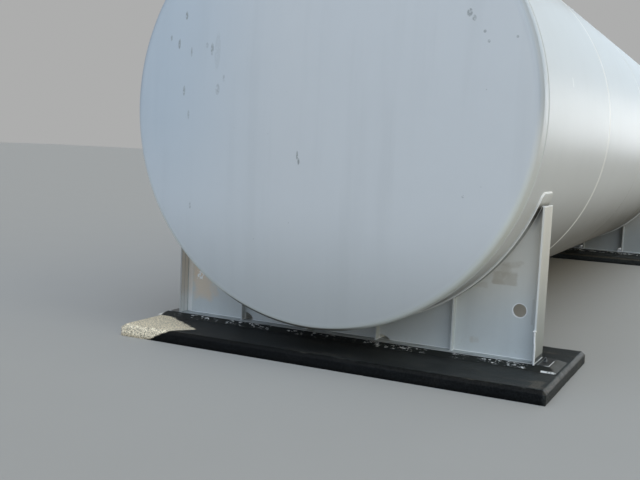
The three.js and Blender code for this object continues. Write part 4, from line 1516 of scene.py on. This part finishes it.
class TANK_OT_stage(TankOperator, bpy.types.Operator):
    """Lays the floor and sets the camera and the lights"""
    bl_idname = "tank.stage"
    bl_label = "Stage"

    def camera(self, scene, settings):
        forward = Vector((math.sin(settings.yaw) * math.cos(settings.pitch),
                          math.cos(settings.yaw) * math.cos(settings.pitch), math.sin(settings.pitch)))
        level = Vector((math.cos(settings.yaw), -math.sin(settings.yaw), 0))
        below = forward.cross(level)
        right = level * math.cos(settings.roll) + below * math.sin(settings.roll)
        down = below * math.cos(settings.roll) - level * math.sin(settings.roll)
        data = bpy.data.cameras.new("camera")
        data.lens = settings.lens
        data.sensor_width = 36.0
        data.sensor_fit = "HORIZONTAL"
        data.clip_end = 500.0
        camera = bpy.data.objects.new("camera", data)
        turn = Matrix((right, -down, -forward)).transposed()
        camera.matrix_world = Matrix.Translation(settings.camera_place) @ turn.to_4x4()
        scene.collection.objects.link(camera)
        scene.camera = camera

    def soft_sun(self, scene, settings, name):
        """A broad, even light from one side."""
        from_side, height, spread = LIGHTS[name]
        side = Vector((*from_side, 0)).normalized()
        towards = side * math.cos(math.radians(height)) + UPRIGHT * math.sin(math.radians(height))
        data = bpy.data.lights.new(f"{name}_light", "SUN")
        data.energy = getattr(settings, f"{name}_light")
        data.angle = math.radians(spread)
        data.color = getattr(settings, f"{name}_tint")
        light = bpy.data.objects.new(f"{name}_light", data)
        light.rotation_mode = "QUATERNION"
        light.rotation_quaternion = (-towards).to_track_quat("-Z", "Y")
        scene.collection.objects.link(light)

    def execute(self, context):
        scene = context.scene
        settings = scene.stage_settings
        self.camera(scene, settings)
        bm = bmesh.new()
        bmesh.ops.create_grid(bm, x_segments=2, y_segments=2, size=120.0)
        mesh = mesh_from(bm, "studio_floor")
        floor = bpy.data.objects.new("studio_floor", mesh)
        mesh.materials.append(finish_from(studio_floor))
        scene.collection.objects.link(floor)
        world = bpy.data.worlds.new("studio")
        world.use_nodes = True
        background = world.node_tree.nodes["Background"]
        background.inputs["Color"].default_value = (*settings.surroundings, 1)
        background.inputs["Strength"].default_value = settings.surroundings_strength
        scene.world = world
        for name in LIGHTS:
            self.soft_sun(scene, settings, name)
        scene.view_settings.view_transform = "Standard"
        return {"FINISHED"}


class TANK_PT_panel(bpy.types.Panel):
    """The pieces and their sizes"""
    bl_idname = "TANK_PT_panel"
    bl_label = "Saddle tank"
    bl_space_type = "VIEW_3D"
    bl_region_type = "UI"
    bl_category = "Tank"

    def draw(self, context):
        for operator in OPERATORS:
            self.layout.operator(operator.bl_idname)
        for name, group in SETTINGS.items():
            box = self.layout.box()
            box.label(text=group.__doc__)
            for field in group.__annotations__:
                box.prop(getattr(context.scene, name), field)


SETTINGS = {
    "tank_sizes": TankSizes,
    "saddle_sizes": SaddleSizes,
    "crown_sizes": CrownSizes,
    "tank_colours": TankColours,
    "stage_settings": StageSettings,
}
OPERATORS = (
    TANK_OT_shell, TANK_OT_heads, TANK_OT_saddle_plates, TANK_OT_wear_plates, TANK_OT_saddle_welds,
    TANK_OT_anchor_bolts, TANK_OT_footings, TANK_OT_manway, TANK_OT_fill_nozzle, TANK_OT_dip_pipe,
    TANK_OT_vent, TANK_OT_lifting_lugs, TANK_OT_earth_connection, TANK_OT_stage,
)


def register():
    for group in SETTINGS.values():
        bpy.utils.register_class(group)
    for name, group in SETTINGS.items():
        setattr(bpy.types.Scene, name, PointerProperty(type=group))
    for operator in OPERATORS:
        bpy.utils.register_class(operator)
    bpy.utils.register_class(TANK_PT_panel)


def unregister():
    bpy.utils.unregister_class(TANK_PT_panel)
    for operator in reversed(OPERATORS):
        bpy.utils.unregister_class(operator)
    for name in SETTINGS:
        delattr(bpy.types.Scene, name)
    for group in reversed(SETTINGS.values()):
        bpy.utils.unregister_class(group)


def main():
    register()
    for operator in OPERATORS:
        family, name = operator.bl_idname.split(".")
        getattr(getattr(bpy.ops, family), name)()


if __name__ == "__main__":
    main()
